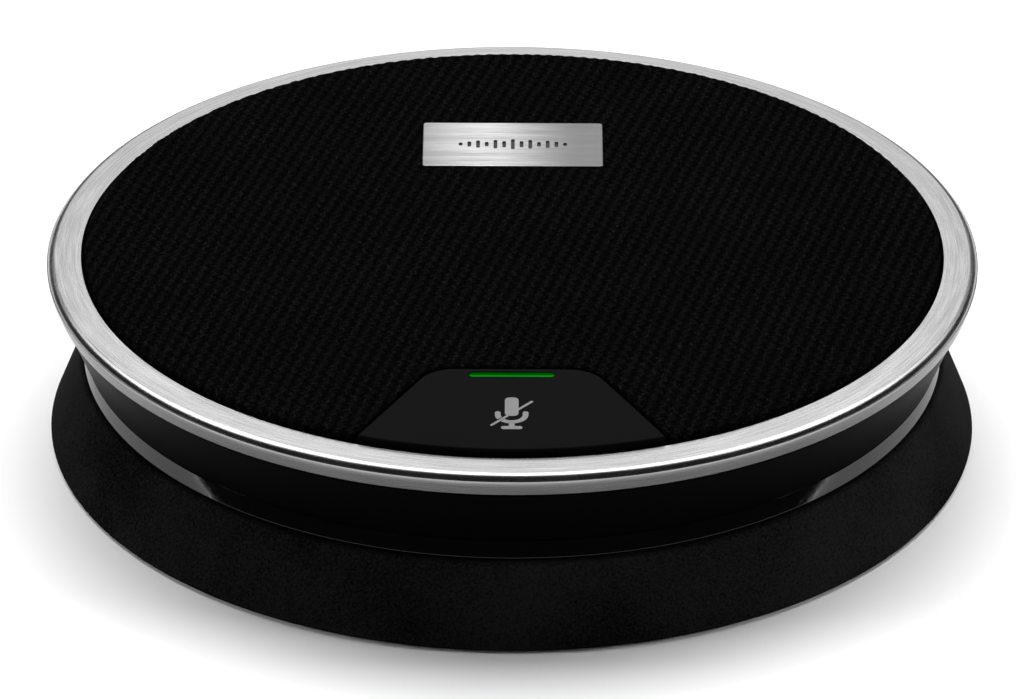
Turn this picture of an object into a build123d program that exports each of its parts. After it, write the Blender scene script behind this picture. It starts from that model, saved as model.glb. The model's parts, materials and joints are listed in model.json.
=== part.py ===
from build123d import *
import os
from math import cos, radians, sin, sqrt, tan

# Conference speakerphone: a round table unit with a cloth top, a mute key at the front and a
# weighted base. Millimetres. +Z is up, the mute key faces -Y, and z = 0 is the table top.

# ---- outer shape -------------------------------------------------------------------------
ring_r = 60.1           # trim ring, widest radius
ring_width = 4.48       # trim ring, from its inner edge to its widest radius
ring_h = 3.21           # trim ring, from its lower edge to its inner top edge
ring_fall = 0.26        # how much lower the top face is where the outer rounding starts
ring_round = 0.8        # rounding between the top face and the outer wall
ring_tuck = 0.7         # how far the outer wall leans in towards its lower edge
ring_wall = 0.9         # metal thickness
ring_lip_h = 2.3        # inner lip of the ring, height
ring_seat_w = 1.1       # wall on the deck that the ring sits on, thickness
ring_seat_gap = 1.1     # gap between that wall and the ring's outer wall
ring_gap = 0.3          # shadow line under the ring
waist_inset = 4.45      # how far the waist lies inside the ring's widest radius
neck_h = 8.25           # tapered neck, height
neck_flare = 3.35       # how much wider the neck's top is than the waist
band_h = 2.57           # gloss band under the neck, height
seal_h = 0.3            # seal between the gloss band and the base
base_h = 10.35          # flared base, height
base_flare = 4.2        # how much wider the base's lower edge is than its shoulder
shoulder_ledge = 0.45   # how far the base's shoulder stands out past the gloss band
foot_proud = 0.4        # how far the rubber foot stands out below the base
foot_h = 1.2            # rubber foot, thickness
foot_w = 6.0            # rubber foot, width of its ring
foot_inset = 1.3        # from the bottom plate's edge to the foot
foot_bevel = 0.2
edge_round = 0.45       # rounding on the base's visible edges
edge_bevel = 0.12       # small bevel on the hard edges of the ring, band, neck and badge
seal_inset = 0.45       # how far the seal lies inside the gloss band

# ---- walls and common clearances ------------------------------------------------------------
housing_wall = 1.8
base_wall = 2.0
shoulder_t = 1.6        # base shoulder, thickness
flange_w = 5.15         # width of the ledge that the shells share at the waist
flange_t = 1.6          # thickness of the neck's lower ledge
deck_t = 1.6            # top deck that carries the speaker
plate_t = 2.4           # bottom plate, thickness
fit_gap = 0.15          # gap between shells that nest
seat_gap = 0.06         # gap between a piece and the seat it rests in

# ---- cloth top --------------------------------------------------------------------------------
cloth_t = 0.8
cloth_gap = 0.3         # gap between the cloth and the ring
cloth_proud = 0.92      # how far the cloth's edge stands above the ring
cloth_round = 0.8       # rounding at the cloth's edge
dome_rise = 1.5         # rise of the cloth from its edge to the centre
cloth_hem = 2.4         # how far the cloth wraps down round the frame
frame_t = 1.3           # grille frame, thickness
frame_rim = 1.6         # grille frame, width of the rim that stands on the deck
grille_hole_r = 2.3
grille_pitch = 8.0
grille_rings = 6
grille_key_margin = 4.5     # no hole nearer than this to the key's back edge
grille_badge_margin = 3.0   # no hole nearer than this to the badge

# ---- mute key ---------------------------------------------------------------------------------
key_ring_gap = 0.42     # gap between the key's front edge and the ring
key_depth = 19.35       # from the key's back edge to its front arc
key_back_w = 20.2       # width at the back edge, before rounding
key_slope = 60.2        # angle of the key's sides from the X axis, in degrees
key_corner_r = 4.5
key_tip_r = 0.6
key_gap = 0.35          # gap between the key and the cloth
key_edge_r = 0.35       # rounding of the key's top edge
key_travel = 0.5
key_roof_t = 1.0        # thickness of the key's top at its front edge
key_wall = 1.2
key_skirt = 1.0         # how far the key's walls reach below its roof
guide_pin_r = 1.0
guide_pin_x = 9.0
guide_pin_lift = 0.3    # from the deck's top to the pins' lower ends
guide_pin_ahead = 1.0   # how far the pins lie behind the switch's centre
guide_clearance = 0.1   # gap round the pins in the key board
guide_hole_gap = 0.4    # gap round the pins in the deck
light_guide_reach = 0.3 # how far the light guide reaches below the key's walls
led_bar_w = 10.7
led_bar_t = 1.1
led_bar_inset = 1.5     # from the key's back edge to the middle of the light bar
icon_depth = 0.35       # depth of the icon's inlay
icon_inset = 10.9       # from the key's back edge to the icon's centre
icon_h = 7.45
icon_capsule_w = 1.7
icon_capsule_h = 4.35
icon_capsule_round = 0.65
icon_arc_r = 1.72
icon_line_w = 0.72
icon_foot_w = 2.65
icon_slash_w = 0.36
icon_slash_x = 2.6      # half the slash's reach, across and along
icon_slash_y = 2.9
icon_stem = 0.1         # from the foot's line to the bowl's line
icon_horn = 0.35        # straight ends of the bowl

# ---- key board and switch ---------------------------------------------------------------------
key_board_w = 22.4
key_board_t = 0.8
key_board_d = 14.8
key_board_inset = 0.55  # from the key's back edge to the board's back edge
key_board_round = 1.0
key_screw_x = 9.3
key_screw_inset = 1.8   # from the board's front edge to its screws
switch_w = 6.0
switch_h = 1.4
switch_round = 0.4
switch_inset = 9.6      # from the key's back edge to the switch's centre
plunger_r = 1.6
plunger_h = 1.1
plunger_clearance = 0.06
plunger_stand = 0.3     # how far the plunger stands above the switch
tip_gap = 0.05          # gap between the plunger and the key's pad
pad_inset = 0.1         # how much narrower the pad is than the plunger
led_size = (1.6, 0.8, 0.6)
led_spread = 2.7

# ---- speaker ----------------------------------------------------------------------------------
speaker_r = 29.0
speaker_flange_t = 1.0
speaker_flange_w = 3.6  # width of the flange under the gasket
speaker_mouth_w = 5.4   # from the speaker's edge to the basket's mouth
surround_w = 3.0        # from the basket's mouth to the cone's rim
gasket_t = 0.4
basket_drop = 7.0       # from the flange's top to the top plate
basket_t = 0.8
basket_foot_w = 1.8     # how far the basket's foot stands out past the magnet
top_plate_t = 1.5
top_plate_r = 15.5
magnet_t = 3.6
magnet_r = 16.0
magnet_bore_r = 9.0
yoke_t = 1.6
pole_r = 6.25
coil_gap = 0.4          # between the voice coil and the steel on each side of it
coil_t = 0.45
coil_h = 6.0
coil_lip = 0.5          # how far the coil stands above the cone's neck
cone_t = 0.5
cone_fall = 4.37        # from the cone's rim to its neck
cap_r = 9.5
cap_rise = 2.0
cap_t = 0.4
surround_t = 0.3
surround_lip = 1.3
surround_seat = 0.4     # how far the roll reaches over the basket's mouth
surround_gap = 0.2      # gap between the surround and the gasket
window_w = 12.0         # windows in the basket
window_d = 5.6
window_rim = 0.4        # solid ring above and below the windows
window_count = 6
spider_lift = 0.65      # from the basket's floor to the spider
spider_seat_w = 2.0     # width of the seat that the spider is glued to
spider_collar = 1.0     # flat part of the spider next to the coil
spider_gap = 0.3        # gap between the spider and the basket's wall
spider_t = 0.3
spider_wave = 0.5
spider_waves = 4

# ---- microphones ------------------------------------------------------------------------------
mic_r = 3.0
mic_h = 1.9
mic_circle_inset = 9.6  # from the ring's inner edge to the microphones' circle
boot_wall = 1.0
boot_floor = 0.3
mic_port_r = 0.6
mic_port_depth = 0.6
mic_angles = (45, 135, 225, 315)

# ---- main board -------------------------------------------------------------------------------
board_t = 1.2
board_edge_gap = 6.7    # from the base's inner wall, at the shoulder, to the board's edge
board_bore_gap = 2.5    # between the speaker's magnet and the board
post_r = 2.6
post_circle_inset = 5.3 # from the board's edge to the posts' circle
post_angles = (30, 150, 210, 330)
chip_t = 0.9
chips = ((9.0, -31.0, 13.0), (5.0, 30.0, -14.0), (6.0, -29.0, -9.0), (4.0, 31.0, 11.0))
can_size = (14.0, 11.0, 2.0)
can_at = (-14.0, 34.0)
can_wall = 0.3
can_round = 0.5
capacitor_r = 2.5
capacitor_h = 5.0
capacitor_angles = (52, 62, 72)
capacitor_circle = 38.5

# ---- socket -----------------------------------------------------------------------------------
socket_size = (8.94, 7.3, 3.2)
socket_round = 1.3
socket_wall = 0.3
socket_proud = 0.2      # how far the socket's mouth stands into the pocket
tongue_size = (6.6, 5.6, 0.7)
pocket_w = 13.0         # pocket in the base for the plug's boot
pocket_h = 6.9
pocket_depth = 5.1      # from the base's shoulder edge in to the pocket's back wall
pocket_lift = 0.85      # from the base's lower edge to the pocket's outer wall
pocket_wall = 1.2
pocket_round = 1.2
socket_hole_gap = 0.2
port_gasket_t = 0.9
port_gasket_w = 1.3

# ---- ribbon -----------------------------------------------------------------------------------
ribbon_x = 8.5
ribbon_w = 5.0
ribbon_t = 0.25
ribbon_bend = 1.2
ribbon_slot_gap = 0.5
connector_size = (5.8, 2.2, 1.1)
connector_inset = 1.7   # from the key board's back edge to the connectors
ribbon_reach = 1.1      # how far the ribbon stands out behind the key board

# ---- badge ------------------------------------------------------------------------------------
badge_w = 23.8
badge_d = 12.6
badge_t = 0.75
badge_round = 0.5
badge_y = 24.6
badge_sink = 0.25       # how far the badge presses into the cloth at its far edge
badge_pin_r = 0.8
badge_pin_x = 8.0
bar_heights = (0.9, 1.5, 2.1, 1.3, 2.5, 1.8, 2.9, 1.8, 2.5, 1.3, 2.1, 1.5, 0.9)
bar_pitch = 1.15
bar_w = 0.5
bar_depth = 0.15

# ---- ballast and screws -----------------------------------------------------------------------
ballast_t = 2.5
ballast_gap = 2.4       # between the ballast plate and the board's posts
ballast_bore_r = 5.0
screw_r = 1.0
head_r = 2.0
head_h = 0.9
small_screw_r = 0.8
small_head_r = 1.6
small_head_h = 0.6
base_screw_inset = 3.8  # from the base's inner wall, at the shoulder, to the screws' circle
base_screw_angles = (45, 135, 225, 315)
housing_screw_inset = 3.65  # from the waist to the screws' circle
housing_screw_angles = (20, 160, 200, 340)
speaker_screw_inset = 1.9
screw_bite = 4.7        # length of the long screws in their bosses
deck_bite = 1.12        # length of the small screws in the deck
board_screw_bite = 4.0  # length of the board's screws in their posts
speaker_screw_angles = (0, 90, 180, 270)
hex_share = 0.45        # a head's hexagon, as a share of the head's radius
hex_depth_share = 0.6   # depth of the hexagon, as a share of the head's height

# ---- heights and radii that follow --------------------------------------------------------------
ring_inner_r = ring_r - ring_width
waist_r = ring_r - waist_inset
shoulder_r = waist_r + shoulder_ledge
base_r = shoulder_r + base_flare
ledge_r = waist_r - flange_w
base_z = foot_proud
shoulder_z = base_z + base_h
band_z = shoulder_z + seal_h
neck_z = band_z + band_h
deck_top = neck_z + neck_h
deck_z = deck_top - deck_t
ring_z = deck_top + ring_gap
ring_top = ring_z + ring_h
shoulder_under = shoulder_z - shoulder_t
plate_top = base_z + plate_t

cloth_r = ring_inner_r - cloth_gap
cloth_edge_r = cloth_r - cloth_round
cloth_edge_z = ring_top + cloth_proud
dome_top = cloth_edge_z + dome_rise
dome_ball_r = (cloth_edge_r ** 2 + dome_rise ** 2) / (2 * dome_rise)
frame_r = cloth_r - cloth_t

key_front_r = ring_inner_r - key_ring_gap
key_back_y = key_depth - key_front_r
key_roof_z = cloth_edge_z - key_roof_t
key_foot_z = key_roof_z - key_skirt
key_board_top = deck_top + key_board_t
key_board_back = key_back_y - key_board_inset
key_board_y = key_board_back - key_board_d / 2
switch_y = key_back_y - switch_inset
switch_top = key_board_top + switch_h
plunger_top = switch_top + plunger_stand
led_y = key_back_y - led_bar_inset
icon_y = key_back_y - icon_inset

speaker_opening_r = speaker_r - speaker_flange_w
basket_mouth_r = speaker_r - speaker_mouth_w
basket_foot_r = magnet_r + basket_foot_w
basket_seat_r = basket_foot_r + basket_t
cone_r = basket_mouth_r - surround_w
flange_top = deck_z - gasket_t
flange_z = flange_top - speaker_flange_t
top_plate_top = flange_top - basket_drop
magnet_top = top_plate_top - top_plate_t
yoke_top = magnet_top - magnet_t
yoke_z = yoke_top - yoke_t
coil_in_r = pole_r + coil_gap
coil_out_r = coil_in_r + coil_t
cone_neck_z = flange_top - cone_t - cone_fall
spider_z = top_plate_top + basket_t + spider_lift

pocket_z = base_z + pocket_lift
pocket_floor = pocket_z + pocket_wall
pocket_mid = pocket_floor + pocket_h / 2
pocket_back = shoulder_r - pocket_depth
board_z = pocket_mid + socket_size[2] / 2
board_top = board_z + board_t


def skirt_r(z):
    """Outer radius of the flared base at a height."""
    return base_r - base_flare * (z - base_z) / base_h


def neck_r(z):
    """Outer radius of the tapered neck at a height."""
    return waist_r + neck_flare * (z - neck_z) / neck_h


def dome_z(r, drop=0.0):
    """Height of the cloth's top at a radius, or of a surface that lies drop below it."""
    ball = dome_ball_r - drop
    return dome_top - dome_ball_r + sqrt(ball ** 2 - r ** 2)


board_r = skirt_r(shoulder_under) - base_wall - board_edge_gap
board_bore_r = magnet_r + board_bore_gap
post_circle = board_r - post_circle_inset
base_screw_circle = skirt_r(shoulder_under) - base_wall - base_screw_inset
housing_screw_circle = waist_r - housing_screw_inset
speaker_screw_circle = speaker_r - speaker_screw_inset
mic_circle = ring_inner_r - mic_circle_inset
plate_r = skirt_r(plate_top) - base_wall - fit_gap
ribbon_y = key_board_back + ribbon_reach

os.makedirs("parts", exist_ok=True)


def save(builder, name):
    """Label a finished piece and write it as its own STEP file."""
    builder.part.label = name
    export_step(builder.part, f"parts/{name}.step")


def polar_points(radius, angles):
    """Points on a circle at the given angles, in degrees."""
    return [(radius * cos(radians(a)), radius * sin(radians(a))) for a in angles]


def key_tip():
    """Plan point where the key's straight side meets its front arc, on the +X side."""
    half = key_back_w / 2
    lean = 1 / tan(radians(key_slope))
    a = lean ** 2 + 1
    b = 2 * (half * lean - key_back_y)
    c = half ** 2 + key_back_y ** 2 - key_front_r ** 2
    run = (sqrt(b ** 2 - 4 * a * c) - b) / (2 * a)
    return half + lean * run, key_back_y - run


def key_outline(grow=0.0):
    """The key's plan, grown all round by an amount."""
    half = key_back_w / 2
    x, y = key_tip()
    with BuildSketch() as plan:
        with BuildLine():
            Polyline((-x, y), (-half, key_back_y), (half, key_back_y), (x, y))
            ThreePointArc((x, y), (0, -key_front_r), (-x, y))
        make_face()
        fillet(plan.vertices().sort_by(Axis.Y)[2:], key_corner_r)
        fillet(plan.vertices().sort_by(Axis.Y)[:2], key_tip_r)
        if grow:
            offset(amount=grow)
    return plan.sketch


def key_opening(grow):
    """Plan of the opening round the key, grown by an amount and run out past the rim."""
    half = key_back_w / 2
    x, y = key_tip()
    reach = 1.5
    front = (half + (x - half) * reach, key_back_y + (y - key_back_y) * reach)
    with BuildSketch() as plan:
        with BuildLine():
            Polyline(
                (-front[0], front[1]),
                (-half, key_back_y),
                (half, key_back_y),
                (front[0], front[1]),
                close=True,
            )
        make_face()
        fillet(plan.vertices().sort_by(Axis.Y)[2:], key_corner_r)
        offset(amount=grow)
    return plan.sketch


def icon_outline():
    """The crossed-out microphone, in plan."""
    top = icon_y + icon_h / 2
    foot_y = top - icon_h + icon_line_w / 2
    bowl_y = foot_y + icon_line_w + icon_arc_r + icon_stem
    with BuildSketch() as plan:
        with Locations((0, top - icon_capsule_h / 2)):
            RectangleRounded(icon_capsule_w, icon_capsule_h, icon_capsule_round)
        with BuildLine() as bowl:
            Line((-icon_arc_r, bowl_y + icon_horn), (-icon_arc_r, bowl_y))
            ThreePointArc((-icon_arc_r, bowl_y), (0, bowl_y - icon_arc_r), (icon_arc_r, bowl_y))
            Line((icon_arc_r, bowl_y), (icon_arc_r, bowl_y + icon_horn))
        trace(bowl.line, line_width=icon_line_w)
        with Locations((0, (foot_y + bowl_y - icon_arc_r) / 2)):
            Rectangle(icon_line_w, bowl_y - icon_arc_r - foot_y)
        with Locations((0, foot_y)):
            SlotOverall(icon_foot_w, icon_line_w)
        with BuildLine() as slash:
            Line((-icon_slash_x, icon_y - icon_slash_y), (icon_slash_x, icon_y + icon_slash_y))
        trace(slash.line, line_width=icon_slash_w)
    return plan.sketch


def dome_section(low_z, radius, drop=0.0, rim_round=0.0):
    """Half the section, in radius and height, of a body that ends in the dome."""
    edge = (radius, dome_z(radius, drop))
    middle = (radius / 2, dome_z(radius / 2, drop))
    with BuildSketch() as section:
        with BuildLine():
            Polyline((0, dome_top - drop), (0, low_z), (radius, low_z), edge)
            ThreePointArc(edge, middle, (0, dome_top - drop))
        make_face()
        if rim_round:
            rim = section.vertices().group_by(Axis.X)[-1]
            fillet(rim.sort_by(Axis.Y)[-1], rim_round)
    return section.sketch


def screws(name, points, z, length, radius, cap_radius, cap_height, up=True):
    """Make a set of identical screws as one piece. up: the tip points up from the head."""
    head_at = z - cap_height if up else z
    shaft_at = z if up else z - length
    with BuildPart() as piece:
        with BuildSketch(Plane.XY.offset(head_at)):
            with Locations(*points):
                Circle(cap_radius)
        extrude(amount=cap_height)
        with BuildSketch(Plane.XY.offset(head_at if up else head_at + cap_height)):
            with Locations(*points):
                RegularPolygon(cap_radius * hex_share, 6)
        hex_depth = cap_height * hex_depth_share
        extrude(amount=hex_depth if up else -hex_depth, mode=Mode.SUBTRACT)
        with BuildSketch(Plane.XY.offset(shaft_at)):
            with Locations(*points):
                Circle(radius)
        extrude(amount=length)
    save(piece, name)


base_screw_points = polar_points(base_screw_circle, base_screw_angles)
housing_screw_points = polar_points(housing_screw_circle, housing_screw_angles)
board_screw_points = polar_points(post_circle, post_angles)
speaker_screw_points = polar_points(speaker_screw_circle, speaker_screw_angles)
key_screw_y = key_board_y - key_board_d / 2 + key_screw_inset
key_screw_points = [(-key_screw_x, key_screw_y), (key_screw_x, key_screw_y)]
guide_pin_y = switch_y + guide_pin_ahead
guide_points = [(-guide_pin_x, guide_pin_y), (guide_pin_x, guide_pin_y)]

# ---- base -------------------------------------------------------------------------------------
with BuildPart() as base_cavity:
    with BuildSketch(Plane.XZ):
        with BuildLine():
            Polyline(
                (0, base_z),
                (skirt_r(base_z) - base_wall, base_z),
                (skirt_r(shoulder_under) - base_wall, shoulder_under),
                (ledge_r, shoulder_under),
                (ledge_r, shoulder_z),
                (0, shoulder_z),
                close=True,
            )
        make_face()
    revolve(axis=Axis.Z)
    with BuildSketch(Plane.XY.offset(pocket_z)):
        with Locations((0, pocket_back - pocket_wall)):
            Rectangle(
                pocket_w + 2 * pocket_wall, base_r, align=(Align.CENTER, Align.MIN)
            )
    extrude(amount=pocket_h + 2 * pocket_wall, mode=Mode.SUBTRACT)
    with BuildSketch(Plane.XY.offset(plate_top)):
        with Locations(*base_screw_points):
            Circle(post_r)
    extrude(amount=shoulder_under - plate_top, mode=Mode.SUBTRACT)

with BuildPart() as base_shell:
    with BuildSketch(Plane.XZ):
        with BuildLine():
            Polyline(
                (0, base_z), (base_r, base_z), (shoulder_r, shoulder_z), (0, shoulder_z), close=True
            )
        make_face()
    revolve(axis=Axis.Z)
    fillet(base_shell.edges().filter_by(GeomType.CIRCLE), edge_round)
    add(base_cavity.part, mode=Mode.SUBTRACT)
    with BuildSketch(Plane.XZ.offset(-pocket_back)):
        with Locations((0, pocket_mid)):
            RectangleRounded(pocket_w, pocket_h, pocket_round)
    extrude(amount=-base_r, mode=Mode.SUBTRACT)
    with BuildSketch(Plane.XZ.offset(-pocket_back + pocket_wall)):
        with Locations((0, pocket_mid)):
            RectangleRounded(
                socket_size[0] + 2 * socket_hole_gap,
                socket_size[2] + 2 * socket_hole_gap,
                socket_round,
            )
    extrude(amount=-pocket_wall, mode=Mode.SUBTRACT)
    with BuildSketch(Plane.XY.offset(plate_top)):
        with Locations(*base_screw_points):
            Circle(screw_r)
    extrude(amount=screw_bite, mode=Mode.SUBTRACT)
    with BuildSketch(Plane.XY.offset(shoulder_under)):
        with Locations(*housing_screw_points):
            Circle(screw_r)
    extrude(amount=shoulder_t, mode=Mode.SUBTRACT)
save(base_shell, "base_shell")

foot_out_r = plate_r - foot_inset
foot_in_r = foot_out_r - foot_w
with BuildPart() as bottom_plate:
    with BuildSketch(Plane.XY.offset(base_z)):
        Circle(plate_r)
    extrude(amount=plate_t)
    with BuildSketch(Plane.XY.offset(foot_proud)):
        Circle(foot_out_r + seat_gap)
        Circle(foot_in_r - seat_gap, mode=Mode.SUBTRACT)
    extrude(amount=foot_h - foot_proud, mode=Mode.SUBTRACT)
    with BuildSketch(Plane.XY.offset(foot_h)):
        with Locations((0, pocket_back - pocket_wall - fit_gap)):
            Rectangle(
                pocket_w + 2 * (pocket_wall + fit_gap), base_r, align=(Align.CENTER, Align.MIN)
            )
    extrude(amount=plate_top - foot_h, mode=Mode.SUBTRACT)
    with BuildSketch(Plane.XY.offset(plate_top)):
        with Locations(*board_screw_points):
            Circle(post_r)
    extrude(amount=board_z - plate_top)
    with BuildSketch(Plane.XY.offset(plate_top)):
        with Locations(*board_screw_points):
            Circle(small_screw_r)
    extrude(amount=board_z - plate_top, mode=Mode.SUBTRACT)
    with BuildSketch(Plane.XY.offset(foot_h)):
        with Locations(*base_screw_points):
            Circle(screw_r)
    extrude(amount=plate_top - foot_h, mode=Mode.SUBTRACT)
    with BuildSketch(Plane.XY.offset(foot_h)):
        with Locations(*base_screw_points):
            Circle(head_r)
    extrude(amount=head_h, mode=Mode.SUBTRACT)
save(bottom_plate, "bottom_plate")

with BuildPart() as foot_ring:
    with BuildSketch():
        Circle(foot_out_r)
        Circle(foot_in_r, mode=Mode.SUBTRACT)
    extrude(amount=foot_h)
    chamfer(foot_ring.faces().sort_by(Axis.Z)[0].edges(), foot_bevel)
save(foot_ring, "foot_ring")

ballast_r = post_circle - post_r - ballast_gap
with BuildPart() as ballast_plate:
    with BuildSketch(Plane.XY.offset(plate_top)):
        Circle(ballast_r)
        Circle(ballast_bore_r, mode=Mode.SUBTRACT)
    extrude(amount=ballast_t)
save(ballast_plate, "ballast_plate")

# ---- waist and neck ---------------------------------------------------------------------------
with BuildPart() as housing_seal:
    with BuildSketch(Plane.XY.offset(shoulder_z)):
        Circle(waist_r - seal_inset)
        Circle(ledge_r, mode=Mode.SUBTRACT)
        with Locations(*housing_screw_points):
            Circle(screw_r, mode=Mode.SUBTRACT)
    extrude(amount=seal_h)
save(housing_seal, "housing_seal")

with BuildPart() as gloss_band:
    with BuildSketch(Plane.XY.offset(band_z)):
        Circle(waist_r)
        Circle(ledge_r, mode=Mode.SUBTRACT)
        with Locations(*housing_screw_points):
            Circle(screw_r, mode=Mode.SUBTRACT)
    extrude(amount=band_h)
    outer_edges = gloss_band.edges().filter_by(GeomType.CIRCLE).sort_by(SortBy.RADIUS)[-2:]
    chamfer(outer_edges, edge_bevel)
save(gloss_band, "gloss_band")

ring_seat_out = ring_r - ring_wall - ring_seat_gap
ring_seat_in = ring_seat_out - ring_seat_w
ring_under = ring_top - ring_fall - ring_wall
with BuildPart() as upper_housing:
    with BuildSketch(Plane.XZ):
        with BuildLine():
            Polyline(
                (waist_r, neck_z),
                (waist_r + neck_flare, deck_top),
                (ring_seat_out, deck_top),
                (ring_seat_out, ring_under),
                (ring_seat_in, ring_under),
                (ring_seat_in, deck_top),
                (speaker_opening_r, deck_top),
                (speaker_opening_r, deck_z),
                (neck_r(deck_z) - housing_wall, deck_z),
                (neck_r(neck_z + flange_t) - housing_wall, neck_z + flange_t),
                (ledge_r, neck_z + flange_t),
                (ledge_r, neck_z),
                close=True,
            )
        make_face()
    revolve(axis=Axis.Z)
    neck_rim = upper_housing.edges().filter_by(GeomType.CIRCLE).group_by(Axis.Z)[0]
    chamfer(neck_rim.sort_by(SortBy.RADIUS)[-1:], edge_bevel)
    boss_r = min(post_r, neck_r(neck_z + flange_t) - housing_wall - housing_screw_circle - seat_gap)
    with BuildSketch(Plane.XY.offset(neck_z + flange_t)):
        with Locations(*housing_screw_points):
            Circle(boss_r)
    extrude(amount=deck_z - neck_z - flange_t)
    with BuildSketch(Plane.XY.offset(neck_z)):
        with Locations(*housing_screw_points):
            Circle(screw_r)
    extrude(amount=screw_bite, mode=Mode.SUBTRACT)
    with BuildSketch(Plane.XY.offset(deck_z)):
        with Locations(*speaker_screw_points):
            Circle(small_screw_r)
    extrude(amount=deck_bite, mode=Mode.SUBTRACT)
    with BuildSketch(Plane.XY.offset(deck_z)):
        with Locations(*guide_points):
            Circle(guide_pin_r + guide_hole_gap)
        with Locations((ribbon_x, ribbon_y)):
            Rectangle(ribbon_w + 2 * ribbon_slot_gap, ribbon_t + 2 * ribbon_slot_gap)
    extrude(amount=deck_t, mode=Mode.SUBTRACT)
    with BuildSketch(Plane.XY.offset(deck_top)):
        with Locations(*key_screw_points):
            Circle(small_screw_r)
    extrude(amount=-deck_bite, mode=Mode.SUBTRACT)
save(upper_housing, "upper_housing")

with BuildPart() as trim_ring:
    round_start = (ring_r - ring_round, ring_top - ring_fall)
    round_end = (ring_r, ring_top - ring_fall - ring_round)
    with BuildSketch(Plane.XZ):
        with BuildLine():
            Line((ring_inner_r, ring_top), round_start)
            TangentArc(round_start, round_end, tangent=(ring_width, -ring_fall))
            Polyline(
                round_end,
                (ring_r - ring_tuck, ring_z),
                (ring_r - ring_tuck - ring_wall, ring_z),
                (ring_r - ring_wall, ring_under),
                (ring_inner_r + ring_wall, ring_under),
                (ring_inner_r + ring_wall, ring_top - ring_lip_h),
                (ring_inner_r, ring_top - ring_lip_h),
                (ring_inner_r, ring_top),
            )
        make_face()
    revolve(axis=Axis.Z)
    chamfer(trim_ring.edges().group_by(Axis.Z)[-1], edge_bevel)
save(trim_ring, "trim_ring")

# ---- cloth, frame and badge -------------------------------------------------------------------
badge_z = dome_z(badge_y + badge_d / 2) - badge_sink
badge_pin_points = [(-badge_pin_x, badge_y), (badge_pin_x, badge_y)]


def in_keep_out(x, y):
    """True where the grille has no hole: round the key and under the badge."""
    near_key = y < key_back_y + grille_key_margin and abs(x) < key_tip()[0] + grille_key_margin
    beside_badge = abs(x) < badge_w / 2 + grille_badge_margin
    level_with_badge = abs(y - badge_y) < badge_d / 2 + grille_badge_margin
    return near_key or (beside_badge and level_with_badge)


grille_points = []
for index in range(1, grille_rings + 1):
    angles = [360 * k / (6 * index) for k in range(6 * index)]
    for point in polar_points(grille_pitch * index, angles):
        if not in_keep_out(*point):
            grille_points.append(point)

with BuildPart() as grille_frame:
    with BuildSketch(Plane.XZ):
        add(dome_section(deck_top, frame_r, cloth_t))
    revolve(axis=Axis.Z)
    with BuildSketch(Plane.XZ):
        add(dome_section(deck_top, frame_r - frame_rim, cloth_t + frame_t))
    revolve(axis=Axis.Z, mode=Mode.SUBTRACT)
    with BuildSketch(Plane.XY.offset(deck_top)):
        add(key_opening(key_gap + cloth_t))
        with Locations(*grille_points):
            Circle(grille_hole_r)
        with Locations(*badge_pin_points):
            Circle(badge_pin_r)
    extrude(amount=dome_top - deck_top, mode=Mode.SUBTRACT)
save(grille_frame, "grille_frame")

with BuildPart() as grille_cloth:
    with BuildSketch(Plane.XZ):
        add(dome_section(cloth_edge_z - cloth_hem, cloth_r, rim_round=cloth_round))
    revolve(axis=Axis.Z)
    with BuildSketch(Plane.XZ):
        add(dome_section(deck_top, frame_r + seat_gap, cloth_t - seat_gap))
    revolve(axis=Axis.Z, mode=Mode.SUBTRACT)
    with BuildSketch(Plane.XY.offset(deck_top)):
        add(key_opening(key_gap))
        with Locations(*badge_pin_points):
            Circle(badge_pin_r)
    extrude(amount=dome_top - deck_top, mode=Mode.SUBTRACT)
    with BuildSketch(Plane.XY.offset(badge_z)):
        with Locations((0, badge_y)):
            RectangleRounded(badge_w, badge_d, badge_round)
    extrude(amount=badge_t, mode=Mode.SUBTRACT)
save(grille_cloth, "grille_cloth")

with BuildPart() as badge_plate:
    with BuildSketch(Plane.XY.offset(badge_z)):
        with Locations((0, badge_y)):
            RectangleRounded(badge_w, badge_d, badge_round)
    extrude(amount=badge_t)
    chamfer(badge_plate.faces().sort_by(Axis.Z)[-1].edges(), edge_bevel)
    with BuildSketch(Plane.XY.offset(badge_z)):
        with Locations(*badge_pin_points):
            Circle(badge_pin_r)
    extrude(amount=-(badge_z - dome_z(badge_y, cloth_t + frame_t)))
    with BuildSketch(Plane.XY.offset(badge_z + badge_t)):
        for index, height in enumerate(bar_heights):
            with Locations(((index - (len(bar_heights) - 1) / 2) * bar_pitch, badge_y)):
                SlotOverall(height, bar_w, rotation=90)
    extrude(amount=-bar_depth, mode=Mode.SUBTRACT)
save(badge_plate, "badge_plate")

# ---- mute key ---------------------------------------------------------------------------------
with BuildPart() as dome_block:
    with BuildSketch(Plane.XZ):
        add(dome_section(deck_z, ring_inner_r))
    revolve(axis=Axis.Z)

with BuildPart() as mute_icon:
    with BuildSketch(Plane.XY.offset(dome_z(-icon_y + icon_h / 2) - icon_depth)):
        add(icon_outline())
    extrude(amount=dome_rise + icon_depth)
    add(dome_block.part, mode=Mode.INTERSECT)
save(mute_icon, "mute_icon")

with BuildPart() as light_guide:
    with BuildSketch(Plane.XY.offset(key_foot_z - light_guide_reach)):
        with Locations((0, led_y)):
            SlotOverall(led_bar_w, led_bar_t)
    extrude(amount=dome_top - key_foot_z + light_guide_reach)
    add(dome_block.part, mode=Mode.INTERSECT)
save(light_guide, "light_guide")

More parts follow.
